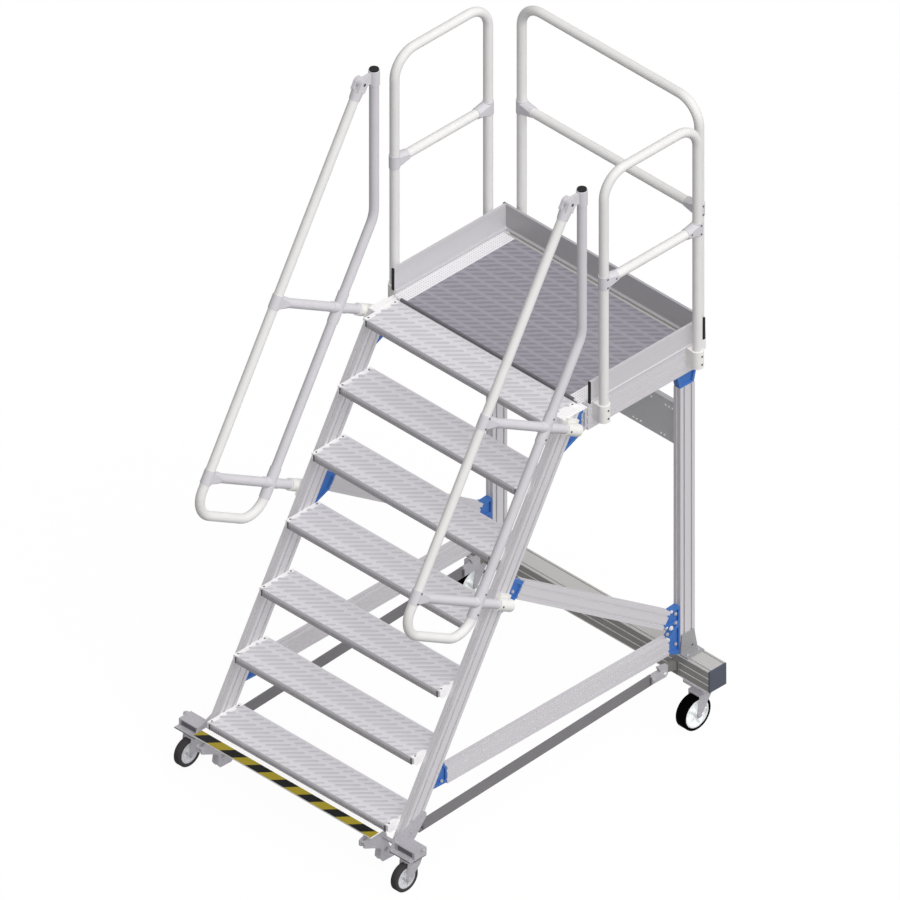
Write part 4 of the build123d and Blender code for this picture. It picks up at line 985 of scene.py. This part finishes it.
# %% [markdown]
# The cross plate between the posts shows a few pale rivets near each post, in an upper and a lower row.
# %% Rivets of the cross plate
# height of each row, X of its rivets on the right side
RIVET_ROWS = [(1436.0, (356.0, 436.0, 454.0, 473.0)), (1290.0, (257.0, 276.0, 298.0, 411.0, 430.0))]
CROSS_PLATE_Y = 1600.0
RIVET_HEAD_MM, RIVET_HEIGHT_MM = 9.0, 2.0


def plate_rivets(built):
    """Rivet heads on the front of the plate."""
    for z, places in RIVET_ROWS:
        for x in places:
            for side in SIDES:
                socket_screw(built, at(side * x, CROSS_PLATE_Y, z), FRONT, RIVET_HEAD_MM, RIVET_HEIGHT_MM)


new_piece("plate_rivets", plate_rivets, rivet_metal, "frame", 25.0)
print("rivets", sum(len(places) for _, places in RIVET_ROWS) * 2)

# %% [markdown]
# The light is plain and soft: one broad lamp from the right and above stands in for a large softbox. Part of
# it casts no shadow, as a wall of lights would, and a dim even surround fills the rest. Faces that look right
# or up come out light, and faces that look to the front are darker, as in the picture. The floor and the
# surround show white to the camera and, through Light Path, only there and in reflections, so that the white
# adds no light to the object.
# %% Floor, surround and lamp
SUN_STRENGTH = 2.75
SUN_FROM = Vector((0.66, -0.06, 0.74))
SUN_ANGLE = radians(50.0)
SHADOWED_SHARE = 0.32
SURROUND_STRENGTH = 0.36
FLOOR_HALF = 14.0
SHADOW_SHARE = 0.06


def white_to_lens(tree):
    """One where a ray comes from the camera, a reflection or a clear material, else nothing."""
    path = add(tree, "LightPath")
    shown = path.outputs["Is Camera Ray"]
    for other in ("Is Glossy Ray", "Is Transmission Ray"):
        shown = add(tree, "Math", {0: shown, 1: path.outputs[other]}, operation="MAXIMUM").outputs["Value"]
    return shown


world = bpy.data.worlds.new("surround")
bpy.context.scene.world = world
world.use_nodes = True
tree = world.node_tree
strength = add(tree, "MapRange", {"Value": white_to_lens(tree), "To Min": SURROUND_STRENGTH, "To Max": 1.0})
tree.links.new(strength.outputs["Result"], tree.nodes["Background"].inputs["Strength"])
tree.nodes["Background"].inputs["Color"].default_value = (1.0, 1.0, 1.0, 1.0)

floor_paint = bpy.data.materials.new("floor_white")
floor_paint.use_nodes = True
tree = floor_paint.node_tree
tree.nodes.clear()
matt = add(tree, "BsdfDiffuse", {"Color": linear("FFFFFF")})
dim = add(tree, "BsdfDiffuse", {"Color": linear("969698")})
glow = add(tree, "Emission", {"Color": (1.0, 1.0, 1.0, 1.0), "Strength": 1.0})
seen = add(tree, "MixShader", {0: SHADOW_SHARE, 1: glow.outputs["Emission"], 2: matt.outputs["BSDF"]})
mixed = add(tree, "MixShader", {0: white_to_lens(tree), 1: dim.outputs["BSDF"], 2: seen.outputs["Shader"]})
out = tree.nodes.new("ShaderNodeOutputMaterial")
tree.links.new(mixed.outputs["Shader"], out.inputs["Surface"])
floor_mesh = bpy.data.meshes.new("floor")
corners = [(x * FLOOR_HALF, y * FLOOR_HALF, 0.0) for x, y in ((-1, -1), (1, -1), (1, 1), (-1, 1))]
floor_mesh.from_pydata(corners, [], [(0, 1, 2, 3)])
floor_mesh.materials.append(floor_paint)
floor = bpy.data.objects.new("floor", floor_mesh)
bpy.context.scene.collection.objects.link(floor)

for name, share, shadow in (("softbox", SHADOWED_SHARE, True), ("fill", 1.0 - SHADOWED_SHARE, False)):
    lamp = bpy.data.objects.new(name, bpy.data.lights.new(name, "SUN"))
    lamp.data.energy = SUN_STRENGTH * share
    lamp.data.use_shadow = shadow
    lamp.data.angle = SUN_ANGLE
    lamp.rotation_mode = "QUATERNION"
    lamp.rotation_quaternion = SUN_FROM.to_track_quat("Z", "Y")
    bpy.context.scene.collection.objects.link(lamp)
print("lamp", SUN_STRENGTH, "surround", SURROUND_STRENGTH)
